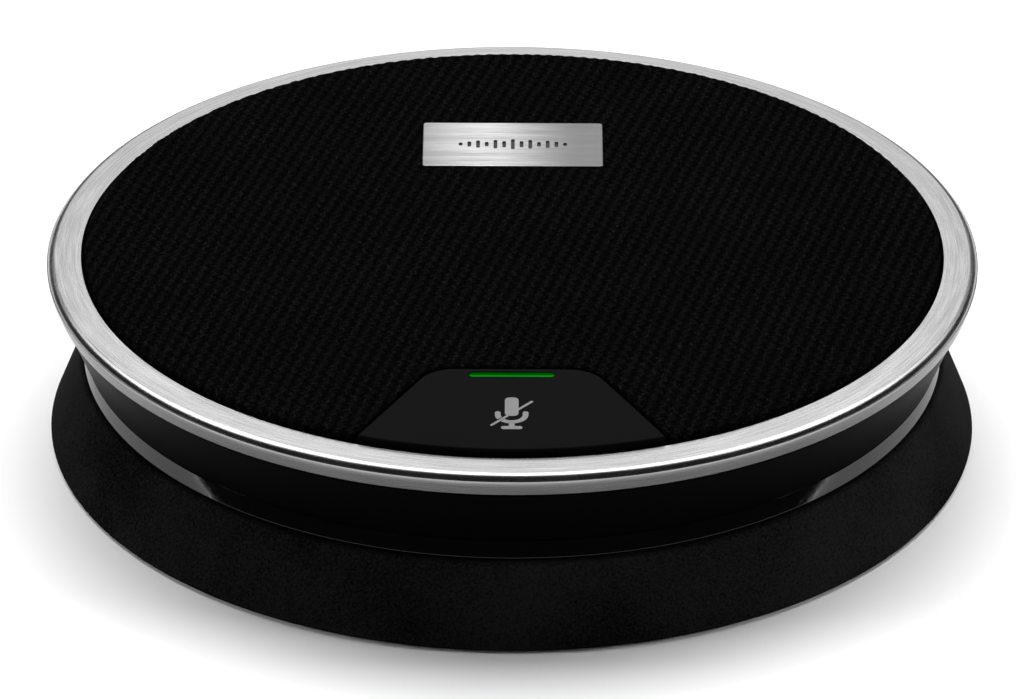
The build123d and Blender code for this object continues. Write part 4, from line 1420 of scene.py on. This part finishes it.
# ---- mute key -----------------------------------------------------------------------------------
@dataclass
class MuteKey:
    """The mute key with its light bar and its crossed-out microphone."""

    dome: Dome
    plan: KeyPlan
    foot: float = 24.3 * MM             # height of the key's lower edge
    edge: float = 0.35 * MM
    tip_round: float = 0.55 * MM
    block: float = 2.0 * MM             # thickness before the top is bent to the dome
    front_cuts: int = 63                # cuts that turn the straight front into an arc
    slice_step: float = 2.5 * MM
    slices: int = 7
    wall: float = 1.2 * MM
    hollow: float = 1.1 * MM
    pad_inset: float = 0.1 * MM
    pad_gap: float = 0.05 * MM          # from the switch's tip up to the pad
    bite: float = 0.4 * MM              # how far the pad and the pins go into the key
    pin_x: float = 9.0 * MM
    pin_back: float = 1.0 * MM         # how far the pins stand behind the switch
    pin_r: float = 1.0 * MM
    pin_facets: int = 24
    shade_angle: float = 40.0
    bar_w: float = 10.7 * MM
    bar_d: float = 1.1 * MM
    bar_inset: float = 1.5 * MM
    bar_sink: float = 0.06 * MM
    bar_gap: float = 0.05 * MM
    bar_edge: float = 0.1 * MM
    icon_inset: float = 10.9 * MM
    icon_h: float = 7.45 * MM
    print_t: float = 0.03 * MM
    line: float = 0.72 * MM             # width of the icon's lines
    capsule: Pair = (1.7 * MM, 4.35 * MM)
    capsule_round: float = 0.646 * MM
    bowl_r: float = 1.72 * MM
    sliver: float = 0.016 * MM          # depth of the sliver that the bowl is spun from
    horn: float = 0.75 * MM             # straight ends of the bowl
    horn_round: float = 0.324 * MM
    stem_gap: float = 0.6 * MM          # from the foot's line to the bowl's line
    foot_w: float = 2.65 * MM
    slash_half: Pair = (2.6 * MM, 2.9 * MM)
    slash_w: float = 0.36 * MM
    slash_gap: float = 0.14 * MM        # between the slash and the bowl
    slash_sink: float = 0.009 * MM      # keeps the slash under the capsule's face

    @property
    def bar_y(self) -> float:
        """Middle of the light bar."""
        return self.plan.back_y - self.bar_inset

    def slotted(self, name: str, grow: float, low: float, high: float) -> Piece:
        """A block with the light bar's round-ended plan.

        Args:
            name: Name of the piece.
            grow: How much larger than the light bar it is, all round.
            low: Height of its lower face.
            high: Height of its upper face.

        Returns:
            The block.
        """
        size = (self.bar_w + 2 * grow, self.bar_d + 2 * grow)
        block = plate(name, *size, (0, self.bar_y, low), size[1] * ROUND_END, 10)
        rise(block, high - low)
        return block

    def cap(self) -> Piece:
        """Draw the plan, raise it, round its top edge, and bend the top to the dome.

        Returns:
            The key.
        """
        half = self.plan.back_w / 2
        tip_x, tip_y = self.plan.tip
        depth = self.plan.back_y - tip_y
        middle = (0, (self.plan.back_y + tip_y) / 2, 0)
        key = plate("mute_key_moulded", self.plan.back_w, depth, middle)
        with editing(key):
            pick(key, Pick.EDGE, lambda p: abs(p.y - tip_y) < NEAR)
            bpy.ops.transform.resize(value=(tip_x / half, 1, 1), center_override=(0, tip_y, 0))
            bpy.ops.mesh.subdivide(number_cuts=self.front_cuts)
            mesh = bmesh.from_edit_mesh(key.data)
            for vertex in mesh.verts:
                if abs(vertex.co.y - tip_y) < NEAR and abs(vertex.co.x) < tip_x - NEAR:
                    vertex.co.y = -math.sqrt(self.plan.front_r ** 2 - vertex.co.x ** 2)
            bmesh.update_edit_mesh(key.data)
            pick(key, Pick.VERT, lambda p: abs(p.y - self.plan.back_y) < NEAR)
            reach = self.plan.corner_r * math.tan(math.radians(self.plan.slope / 2))
            bpy.ops.mesh.bevel(offset=reach, segments=18, affect="VERTICES")
            pick(key, Pick.VERT, lambda p: abs(abs(p.x) - tip_x) < NEAR)
            bpy.ops.mesh.bevel(offset=self.tip_round, segments=6, affect="VERTICES")
        rise(key, -self.block)
        with editing(key):
            pick(key, Pick.EDGE, at_height(0.0))
            bpy.ops.mesh.bevel(offset=self.edge, segments=4, affect="EDGES")
            pick(key, Pick.FACE, at_height(-self.block))
            bpy.ops.mesh.inset(thickness=self.wall)
            bpy.ops.mesh.extrude_region_move(TRANSFORM_OT_translate={"value": (0, 0, self.hollow)})
        cut(key, self.slotted("slot", self.bar_gap, -self.block / 2, self.block))
        self.slice(key)
        move_points(key, self.settle)
        cut(key, self.pins(), "UNION")
        return shape_up(key, self.shade_angle)

    def pins(self) -> Piece:
        """The pad over the switch and the two guide pins.

        Returns:
            The three rods as one piece.
        """
        low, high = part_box("switch_plunger")
        middle_y = (low[1] + high[1]) / 2
        roof = self.foot + self.hollow + self.bite
        pad_r = (high[0] - low[0]) / 2 - self.pad_inset
        rods = [rod("pad", pad_r, high[2] + self.pad_gap, roof, (0, middle_y))]
        pin_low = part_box("mute_key_cap")[0][2]
        for x in (-self.pin_x, self.pin_x):
            at = (x, middle_y + self.pin_back)
            rods.append(rod("pin", self.pin_r, pin_low, roof, at, self.pin_facets))
        return joined("inner", rods)

    def slice(self, key: Piece) -> None:
        """Cut the key's faces by planes across X and Y, so that it can bend.

        Args:
            key: The key, still flat.
        """
        with editing(key):
            for index in range(-self.slices, self.slices + 1):
                bpy.ops.mesh.select_all(action="SELECT")
                bpy.ops.mesh.bisect(plane_co=(index * self.slice_step, 0, 0), plane_no=(1, 0, 0))
            for index in range(1, self.slices + 1):
                bpy.ops.mesh.select_all(action="SELECT")
                at = self.plan.back_y - index * self.slice_step
                bpy.ops.mesh.bisect(plane_co=(0, at, 0), plane_no=(0, 1, 0))

    def settle(self, points: np.ndarray) -> np.ndarray:
        """Stand the key's top on the dome and its lower edge at the foot.

        Args:
            points: Places in the flat key.

        Returns:
            Their places in the finished key.
        """
        bent = self.dome.drape(points, 0.0)
        share = np.clip(-points[:, 2] / self.block, 0, 1)
        bent[:, 2] = bent[:, 2] * (1 - share) + self.foot * share
        return bent

    def bar(self) -> Piece:
        """The light guide, a little below the key's face.

        Returns:
            The light guide.
        """
        guide = self.slotted("light_bar", 0.0, -self.block, -self.bar_sink)
        with editing(guide):
            pick(guide, Pick.EDGE, at_height(-self.bar_sink))
            bpy.ops.mesh.bevel(offset=self.bar_edge, segments=3, affect="EDGES")
        move_points(guide, lambda points: self.dome.drape(points, 0.0))
        return shape_up(guide)

    def arc_line(self, name: str, centre_y: float) -> Piece:
        """The bowl under the capsule: a half ring with short upright horns.

        Args:
            name: Name of the piece.
            centre_y: Centre of the half ring.

        Returns:
            The flat bowl.
        """
        bowl = plate(name, self.line, self.sliver, (self.bowl_r, centre_y, 0))
        with editing(bowl):
            bpy.ops.mesh.delete(type="ONLY_FACE")
            pick(bowl, Pick.VERT, lambda p: p.y < centre_y)
            bpy.ops.mesh.delete(type="VERT")
            bpy.ops.mesh.select_all(action="SELECT")
            bpy.ops.mesh.spin(steps=40, angle=math.pi, center=(0, centre_y, 0), axis=(0, 0, 1))
            pick(bowl, Pick.EDGE, lambda p: abs(p.y - centre_y) < self.sliver)
            bpy.ops.mesh.extrude_region_move(TRANSFORM_OT_translate={"value": (0, self.horn, 0)})
            pick(bowl, Pick.VERT, lambda p: p.y > centre_y + self.horn / 2)
            bpy.ops.mesh.bevel(offset=self.horn_round, segments=6, affect="VERTICES")
        return bowl

    def icon(self) -> Piece:
        """The crossed-out microphone, printed on the key.

        Returns:
            The icon.
        """
        middle = self.plan.back_y - self.icon_inset
        top = middle + self.icon_h / 2
        foot_y = top - self.icon_h + self.line / 2
        bowl_y = foot_y + self.line + self.bowl_r + self.stem_gap
        capsule_at = (0, top - self.capsule[1] / 2, 0)
        capsule = plate("capsule", *self.capsule, capsule_at, self.capsule_round)
        bowl = self.arc_line("bowl", bowl_y)
        stem_h = bowl_y - self.bowl_r - foot_y
        stem = plate("stem", self.line, stem_h, (0, foot_y + stem_h / 2, 0))
        base = plate("base", self.foot_w, self.line, (0, foot_y, 0), self.line * ROUND_END)
        way = Vector((*self.slash_half, 0)).normalized()
        side = Vector((-way.y, way.x, 0))
        reach = 2 * math.hypot(*self.slash_half)
        slash = plate("slash", reach, self.slash_w, (0, 0, 0), self.slash_w * ROUND_END)
        slash.rotation_euler = Euler((0, 0, math.atan2(way.y, way.x)))
        slash.location = (0, middle, -self.slash_sink)
        bake_place(slash)
        halves = []
        for sign in (1, -1):
            half = bowl.copy()
            half.data = bowl.data.copy()
            bpy.context.collection.objects.link(half)
            with editing(half):
                off = side * sign * (self.slash_w / 2 + self.slash_gap)
                bpy.ops.mesh.bisect(
                    plane_co=Vector((0, middle, 0)) + off, plane_no=side * sign, clear_inner=True
                )
            halves.append(half)
        bpy.data.objects.remove(bowl)
        icon = joined("mute_mark", [capsule, *halves, stem, base, slash])
        rise(icon, self.print_t)
        move_points(icon, lambda points: self.dome.drape(points, 0.0))
        return shape_up(icon)

    def dress(self) -> None:
        """Give the key, the light bar and the icon their finishes."""
        skin = Plastic("key_soft_black", grey(0.0028), gloss=0.5, specular=0.008, grain=5200.0)
        dress(self.cap(), skin.make(), "mute_key", "mute_key_cap")
        lit = LitBar(middle_y=self.bar_y, width=self.bar_d)
        dress(self.bar(), lit.make(), "mute_key", "light_guide")
        ink = Plastic("pale_print", grey(0.15), gloss=0.55, specular=0.2, grain=9000.0)
        dress(self.icon(), ink.make(), "mute_key", "mute_icon")


# ---- neck, band and base ------------------------------------------------------------------------
@dataclass
class Waist:
    """The tapered neck, the gloss band and the dark seal under it."""

    neck_low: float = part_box("upper_housing")[0][2]
    neck_r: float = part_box("gloss_band")[1][0]
    neck_top_r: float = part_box("upper_housing")[1][0]
    under_ring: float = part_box("trim_ring")[0][2] - 0.3 * MM    # a dark gap lies between
    band_low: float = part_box("gloss_band")[0][2]
    seal_r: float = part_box("housing_seal")[1][0]
    seal_low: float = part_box("housing_seal")[0][2]
    ledge_r: float = 50.5 * MM
    deck_t: float = 1.6 * MM
    wall: float = 1.8 * MM
    opening_r: float = 25.4 * MM
    seat: Pair = (56.9 * MM, 58.0 * MM)     # inner and outer radius of the ring's seat
    seat_top: float = 24.22 * MM
    boss_r: float = 1.56 * MM
    boss_bite: float = 0.2 * MM             # how far a boss goes into what it stands on
    boss_circle: float = 52.0 * MM
    boss_angles: tuple[int, ...] = (20, 160, 200, 340)
    pin_x: float = 9.0 * MM
    pin_back: float = 1.0 * MM
    pin_hole_r: float = 1.4 * MM
    pin_facets: int = 32
    edge: float = 0.12 * MM
    top_edge: float = 0.24 * MM
    band_edge: float = 0.168 * MM
    seal_edge: float = 0.096 * MM

    def neck(self) -> Piece:
        """Turn the neck with its deck, add the screw bosses and cut the guide holes.

        Returns:
            The neck.
        """
        deck = self.under_ring - self.deck_t
        lower = self.neck_low + self.deck_t
        taper = (self.neck_top_r - self.neck_r) / (self.under_ring - self.neck_low)
        neck = turned("neck_moulded", [
            (self.neck_r, self.neck_low),
            (self.neck_top_r, self.under_ring),
            (self.seat[1], self.under_ring),
            (self.seat[1], self.seat_top),
            (self.seat[0], self.seat_top),
            (self.seat[0], self.under_ring),
            (self.opening_r, self.under_ring),
            (self.opening_r, deck),
            (self.neck_r + taper * (deck - self.neck_low) - self.wall, deck),
            (self.neck_r + taper * (lower - self.neck_low) - self.wall, lower),
            (self.ledge_r, lower),
            (self.ledge_r, self.neck_low),
        ])
        round_circle(neck, self.neck_r, self.neck_low, self.edge, 3)
        round_circle(neck, self.neck_top_r, self.under_ring, self.top_edge, 3)
        bosses = []
        for angle in self.boss_angles:
            turn = math.radians(angle)
            at = (self.boss_circle * math.cos(turn), self.boss_circle * math.sin(turn))
            ends = (lower - self.boss_bite, deck + self.boss_bite)
            bosses.append(rod("boss", self.boss_r, *ends, at))
        cut(neck, joined("bosses", bosses), "UNION")
        low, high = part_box("switch_plunger")
        pin_y = (low[1] + high[1]) / 2 + self.pin_back
        holes = []
        for x in (-self.pin_x, self.pin_x):
            ends = (deck - MM, self.under_ring + MM)
            holes.append(rod("hole", self.pin_hole_r, *ends, (x, pin_y), self.pin_facets))
        cut(neck, joined("holes", holes))
        return shape_up(neck)

    def band(self) -> Piece:
        """Turn the gloss band, with soft edges.

        Returns:
            The band.
        """
        band = turned("band_polished", [
            (self.neck_r, self.band_low),
            (self.neck_r, self.neck_low),
            (self.ledge_r, self.neck_low),
            (self.ledge_r, self.band_low),
        ])
        round_circle(band, self.neck_r, self.neck_low, self.band_edge, 4)
        round_circle(band, self.neck_r, self.band_low, self.band_edge, 4)
        return shape_up(band)

    def seal(self) -> Piece:
        """Turn the seal, with a round outer edge.

        Returns:
            The seal.
        """
        seal = turned("seal_moulded", [
            (self.seal_r, self.seal_low),
            (self.seal_r, self.band_low),
            (self.ledge_r, self.band_low),
            (self.ledge_r, self.seal_low),
        ])
        round_circle(seal, self.seal_r, self.band_low, self.seal_edge, 3)
        return shape_up(seal)

    def dress(self) -> None:
        """Give the three pieces their finishes."""
        satin = Plastic(
            "neck_satin_black", grey(0.0008), gloss=0.34, specular=0.01, grain=7000.0,
            grain_depth=0.006 * MM,
        )
        dress(self.neck(), satin.make(), "housing", "upper_housing")
        gloss = Plastic(
            "band_gloss_black", grey(0.0006), gloss=0.05, specular=0.4, tilt=0.35, grain=1500.0,
            grain_depth=0.001 * MM,
        )
        dress(self.band(), gloss.make(), "housing", "gloss_band")
        rubber = Plastic("seal_black", grey(0.001), gloss=0.8, specular=0.03)
        dress(self.seal(), rubber.make(), "housing", "housing_seal")


@dataclass
class Base:
    """The flared base with the socket's pocket, the rubber foot and the socket."""

    low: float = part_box("base_shell")[0][2]
    high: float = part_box("base_shell")[1][2]
    out_r: float = 60.3 * MM
    shoulder_r: float = 56.1 * MM
    wall: float = 2.0 * MM
    shoulder_t: float = 1.6 * MM
    ledge_r: float = 50.5 * MM
    rounding: float = 0.45 * MM
    pocket: Pair = (13.0 * MM, 6.9 * MM)
    pocket_wall: float = 1.2 * MM
    pocket_corner: float = 1.2 * MM
    pocket_back: float = 51.0 * MM
    pocket_mid: float = (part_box("socket_shell")[0][2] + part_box("socket_shell")[1][2]) / 2
    liner_end: float = 55.5 * MM        # where the pocket's walls stop, inside the flared wall
    cut_end: float = 72.36 * MM         # past the flared wall
    port_start: float = 45.9 * MM       # behind the pocket's back wall
    port_gap: float = 0.3 * MM
    socket_corner: float = 1.3 * MM
    socket_wall: float = 0.3 * MM
    foot_w: float = 6.0 * MM
    foot_edge: float = 0.3 * MM

    def upright(self, name: str, size: Pair, corner: float, start: float, end: float) -> Piece:
        """A block with a round-cornered front, facing +Y.

        Args:
            name: Name of the piece.
            size: Size along X and Z.
            corner: Corner radius of the front.
            start: Y of the back face.
            end: Y of the front face.

        Returns:
            The block.
        """
        block = plate(name, *size, (0, 0, 0), corner, 10)
        rise(block, end - start)
        with editing(block):
            bpy.ops.transform.rotate(
                value=math.radians(90), orient_axis="X", center_override=(0, 0, 0)
            )
        flip = np.mean([v.co.y for v in block.data.vertices]) < 0
        move_points(block, lambda p: p * (1, -1 if flip else 1, 1) + (0, start, self.pocket_mid))
        if flip:
            block.data.flip_normals()
        return block

    def skirt_r(self, z: float) -> float:
        """Outer radius of the flared wall at a height."""
        return self.out_r - (self.out_r - self.shoulder_r) * (z - self.low) / (self.high - self.low)

    def shell(self) -> Piece:
        """Turn the shell, round its edges, and cut the pocket and the port.

        Returns:
            The shell.
        """
        under = self.high - self.shoulder_t
        shell = turned("base_moulded", [
            (self.out_r, self.low),
            (self.shoulder_r, self.high),
            (self.ledge_r, self.high),
            (self.ledge_r, under),
            (self.skirt_r(under) - self.wall, under),
            (self.skirt_r(self.low) - self.wall, self.low),
        ])
        round_circle(shell, self.out_r, self.low, self.rounding, 5)
        round_circle(shell, self.shoulder_r, self.high, self.rounding, 5)
        corner, back = self.pocket_corner, self.pocket_back
        liner = tuple(side + 2 * self.pocket_wall for side in self.pocket)
        walls = self.upright("liner", liner, corner, back - self.pocket_wall, self.liner_end)
        cut(shell, walls, "UNION")
        cut(shell, self.upright("pocket", self.pocket, corner, back, self.cut_end))
        low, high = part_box("socket_shell")
        port = (high[0] - low[0] + self.port_gap, high[2] - low[2] + self.port_gap)
        cut(shell, self.upright("port", port, self.socket_corner, self.port_start, self.out_r))
        return shape_up(shell)

    def foot(self) -> Piece:
        """Turn the rubber foot, with rounded lower edges.

        Returns:
            The foot.
        """
        low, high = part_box("foot_ring")
        inner = high[0] - self.foot_w
        foot = turned("foot_moulded", [
            (high[0], low[2]), (high[0], high[2]), (inner, high[2]), (inner, low[2]),
        ])
        round_circle(foot, high[0], low[2], self.foot_edge, 3)
        round_circle(foot, inner, low[2], self.foot_edge, 3)
        return shape_up(foot)

    def socket(self) -> Piece:
        """Draw the socket's metal shell.

        Returns:
            The shell, open to the back.
        """
        low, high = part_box("socket_shell")
        wall, corner = self.socket_wall, self.socket_corner
        size = (high[0] - low[0], high[2] - low[2])
        shell = self.upright("socket_drawn", size, corner, low[1], high[1])
        inside = tuple(side - 2 * wall for side in size)
        hollow = self.upright("hollow", inside, corner - wall, low[1] + wall, high[1] + MM)
        return shape_up(cut(shell, hollow))

    def dress(self) -> None:
        """Give the base, the foot and the socket their finishes."""
        skin = Plastic(
            "base_textured_black", grey(0.0065), gloss=0.55, specular=0.001, contrast=0.85,
            grain=3400.0, grain_depth=0.03 * MM,
        )
        dress(self.shell(), skin.make(), "housing", "base_shell")
        rubber = Plastic("foot_rubber_black", grey(0.006), gloss=0.85, specular=0.1, grain=2500.0)
        dress(self.foot(), rubber.make(), "housing", "foot_ring")
        steel = PlainMetal("socket_nickel", (0.6, 0.58, 0.55), gloss=0.28)
        dress(self.socket(), steel.make(), "housing", "socket_shell")


# ---- inner pieces -------------------------------------------------------------------------------
@dataclass
class Inside:
    """The CAD pieces that stay, each with the finish of its slot."""

    finishes: dict[str, object] = field(default_factory=lambda: {
        "neck_plastic": Plastic("inner_satin_black", grey(0.01)),
        "base_plastic": Plastic(
            "plate_textured_black", grey(0.012), grain=3400.0, grain_depth=0.03 * MM
        ),
        "inner_plastic": Plastic("inner_black", grey(0.02)),
        "seal_rubber": Plastic("inner_rubber", grey(0.012), gloss=0.85, specular=0.15),
        "ballast_steel": PlainMetal("ballast_zinc", (0.45, 0.46, 0.47), gloss=0.45),
        "circuit_board": CircuitBoard(),
        "led_body": Plastic("led_resin", (0.55, 0.56, 0.5), gloss=0.25),
        "ribbon": Plastic("ribbon_film", (0.02, 0.009, 0.004), gloss=0.4),
        "connector_plastic": Plastic("connector_black", grey(0.02), gloss=0.45),
        "speaker_steel": PlainMetal("speaker_zinc", (0.5, 0.5, 0.52), gloss=0.4),
        "ferrite": Plastic("ferrite_grey", grey(0.05), gloss=0.6, grain=1800.0),
        "copper_coil": Winding(),
        "paper_cone": PressedPaper("cone_pulp"),
        "spider_cloth": PressedPaper("spider_weave", (0.35, 0.22, 0.06)),
        "microphone_metal": PlainMetal("microphone_can", (0.6, 0.6, 0.58), gloss=0.3),
        "chip_resin": Plastic("chip_black", grey(0.015), gloss=0.55, grain=2500.0),
        "shield_metal": PlainMetal("shield_tin", (0.65, 0.65, 0.64), gloss=0.3),
        "socket_metal": PlainMetal("contact_metal", (0.6, 0.58, 0.55), gloss=0.28),
        "screw_steel": PlainMetal("screw_zinc", (0.35, 0.35, 0.36), gloss=0.35),
    })

    def dress(self) -> None:
        """Give every CAD node the finish of its slot."""
        made: dict[str, bpy.types.Material] = {}
        for part in frame["record"]["subparts"]:
            node = frame["nodes"][part["node"]]
            slot = part["material_slot"]
            finish = self.finishes.get(slot, self.finishes["inner_plastic"])
            if slot not in made:
                made[slot] = finish.make()
            node.data.materials.clear()
            node.data.materials.append(made[slot])
            log.info("%s: %s", node.name, made[slot].name)


# ---- studio -------------------------------------------------------------------------------------
@dataclass
class Softbox:
    """One rectangular light that faces the object."""

    name: str
    place: Point
    size: Pair
    power: float
    aim: Point = (0.0, 0.0, 0.015)
    mirrored: bool = True

    def build(self) -> None:
        """Add the light."""
        data = bpy.data.lights.new(self.name, "AREA")
        data.shape = "RECTANGLE"
        data.size, data.size_y = self.size
        data.energy = self.power
        light = bpy.data.objects.new(self.name, data)
        light.location = self.place
        way = Vector(self.aim) - Vector(self.place)
        light.rotation_euler = way.to_track_quat("-Z", "Y").to_euler()
        light.visible_camera = False
        light.visible_glossy = self.mirrored
        bpy.context.collection.objects.link(light)


@dataclass
class Studio:
    """Pale floor, soft lights and the camera."""

    camera_place: Point = (0.00005, -0.8456, 0.4687)
    camera_aim: Point = (0.0, 0.0, 0.01033)
    camera_roll: float = 0.236      # in degrees
    lens: float = 259.66            # in mm, as the sensor's width
    sensor: float = 36.0
    clip: Pair = (0.05, 20.0)
    floor_size: float = 8.0
    floor_z: float = -0.02 * MM
    floor_tones: Pair = (0.88, 0.9)
    floor_cloud: float = 3.0        # in a metre
    room: float = 0.03              # light from the room
    lights: tuple[Softbox, ...] = (
        Softbox("overhead", (0.0, 0.85, 1.6), (3.0, 1.6), 76.0, (0.0, 0.85, 0.0)),
        Softbox("backdrop", (0.0, 1.6, 0.88), (0.6, 1.5), 4.9),
        Softbox("left_strip", (-1.0, -0.2, 0.3), (0.25, 0.6), 5.0, mirrored=False),
        Softbox("right_strip", (1.0, -0.2, 0.3), (0.25, 0.6), 6.0, mirrored=False),
    )

    def world(self) -> None:
        """A dim room for the light, white where the camera sees past the floor."""
        world = bpy.data.worlds.new("studio")
        bpy.context.scene.world = world
        graph = Graph(world)
        ray = graph.node("ShaderNodeLightPath", output="Is Camera Ray")
        room = graph.node("ShaderNodeBackground", inputs={"Color": (*grey(self.room), 1.0)})
        white = graph.node("ShaderNodeBackground", inputs={"Color": (*grey(1.0), 1.0)})
        mix = graph.node("ShaderNodeMixShader", inputs={0: ray, 1: room, 2: white})
        graph.fill(graph.given("OUTPUT_WORLD"), {"Surface": mix})

    def floor(self) -> None:
        """A large pale floor."""
        sheet = plate("studio_floor", self.floor_size, self.floor_size, (0, 0, self.floor_z))
        graph = Graph(bpy.data.materials.new("studio_white"))
        cloud = graph.noise(graph.place(), self.floor_cloud, 2.0)
        low, high = (grey(tone) for tone in self.floor_tones)
        white = graph.finish(
            Base_Color=graph.blend(cloud, low, high), Roughness=0.7, Specular_IOR_Level=0.1
        )
        sheet.data.materials.append(white)

    def camera(self) -> None:
        """The camera, a little rolled."""
        data = bpy.data.cameras.new("camera")
        data.lens = self.lens
        data.sensor_width = self.sensor
        data.clip_start, data.clip_end = self.clip
        camera = bpy.data.objects.new("camera", data)
        camera.location = self.camera_place
        aim = (Vector(self.camera_aim) - camera.location).to_track_quat("-Z", "Y")
        roll = Euler((0, 0, math.radians(self.camera_roll)))
        camera.rotation_euler = (aim.to_matrix() @ roll.to_matrix()).to_euler()
        bpy.context.collection.objects.link(camera)
        bpy.context.scene.camera = camera

    def build(self) -> None:
        """Set up the whole studio."""
        self.camera()
        self.world()
        self.floor()
        for light in self.lights:
            light.build()
        bpy.context.scene.view_settings.view_transform = "Standard"


def main() -> None:
    """Build and dress every piece, then the studio."""
    logging.basicConfig(level=logging.INFO, format="%(name)s: %(message)s")
    dome = Dome()
    plan = KeyPlan()
    Studio().build()
    Inside().dress()
    TrimRing().dress()
    ClothTop(dome, plan).dress()
    Badge().dress()
    MuteKey(dome, plan).dress()
    Waist().dress()
    Base().dress()


if __name__ == "__main__":
    main()
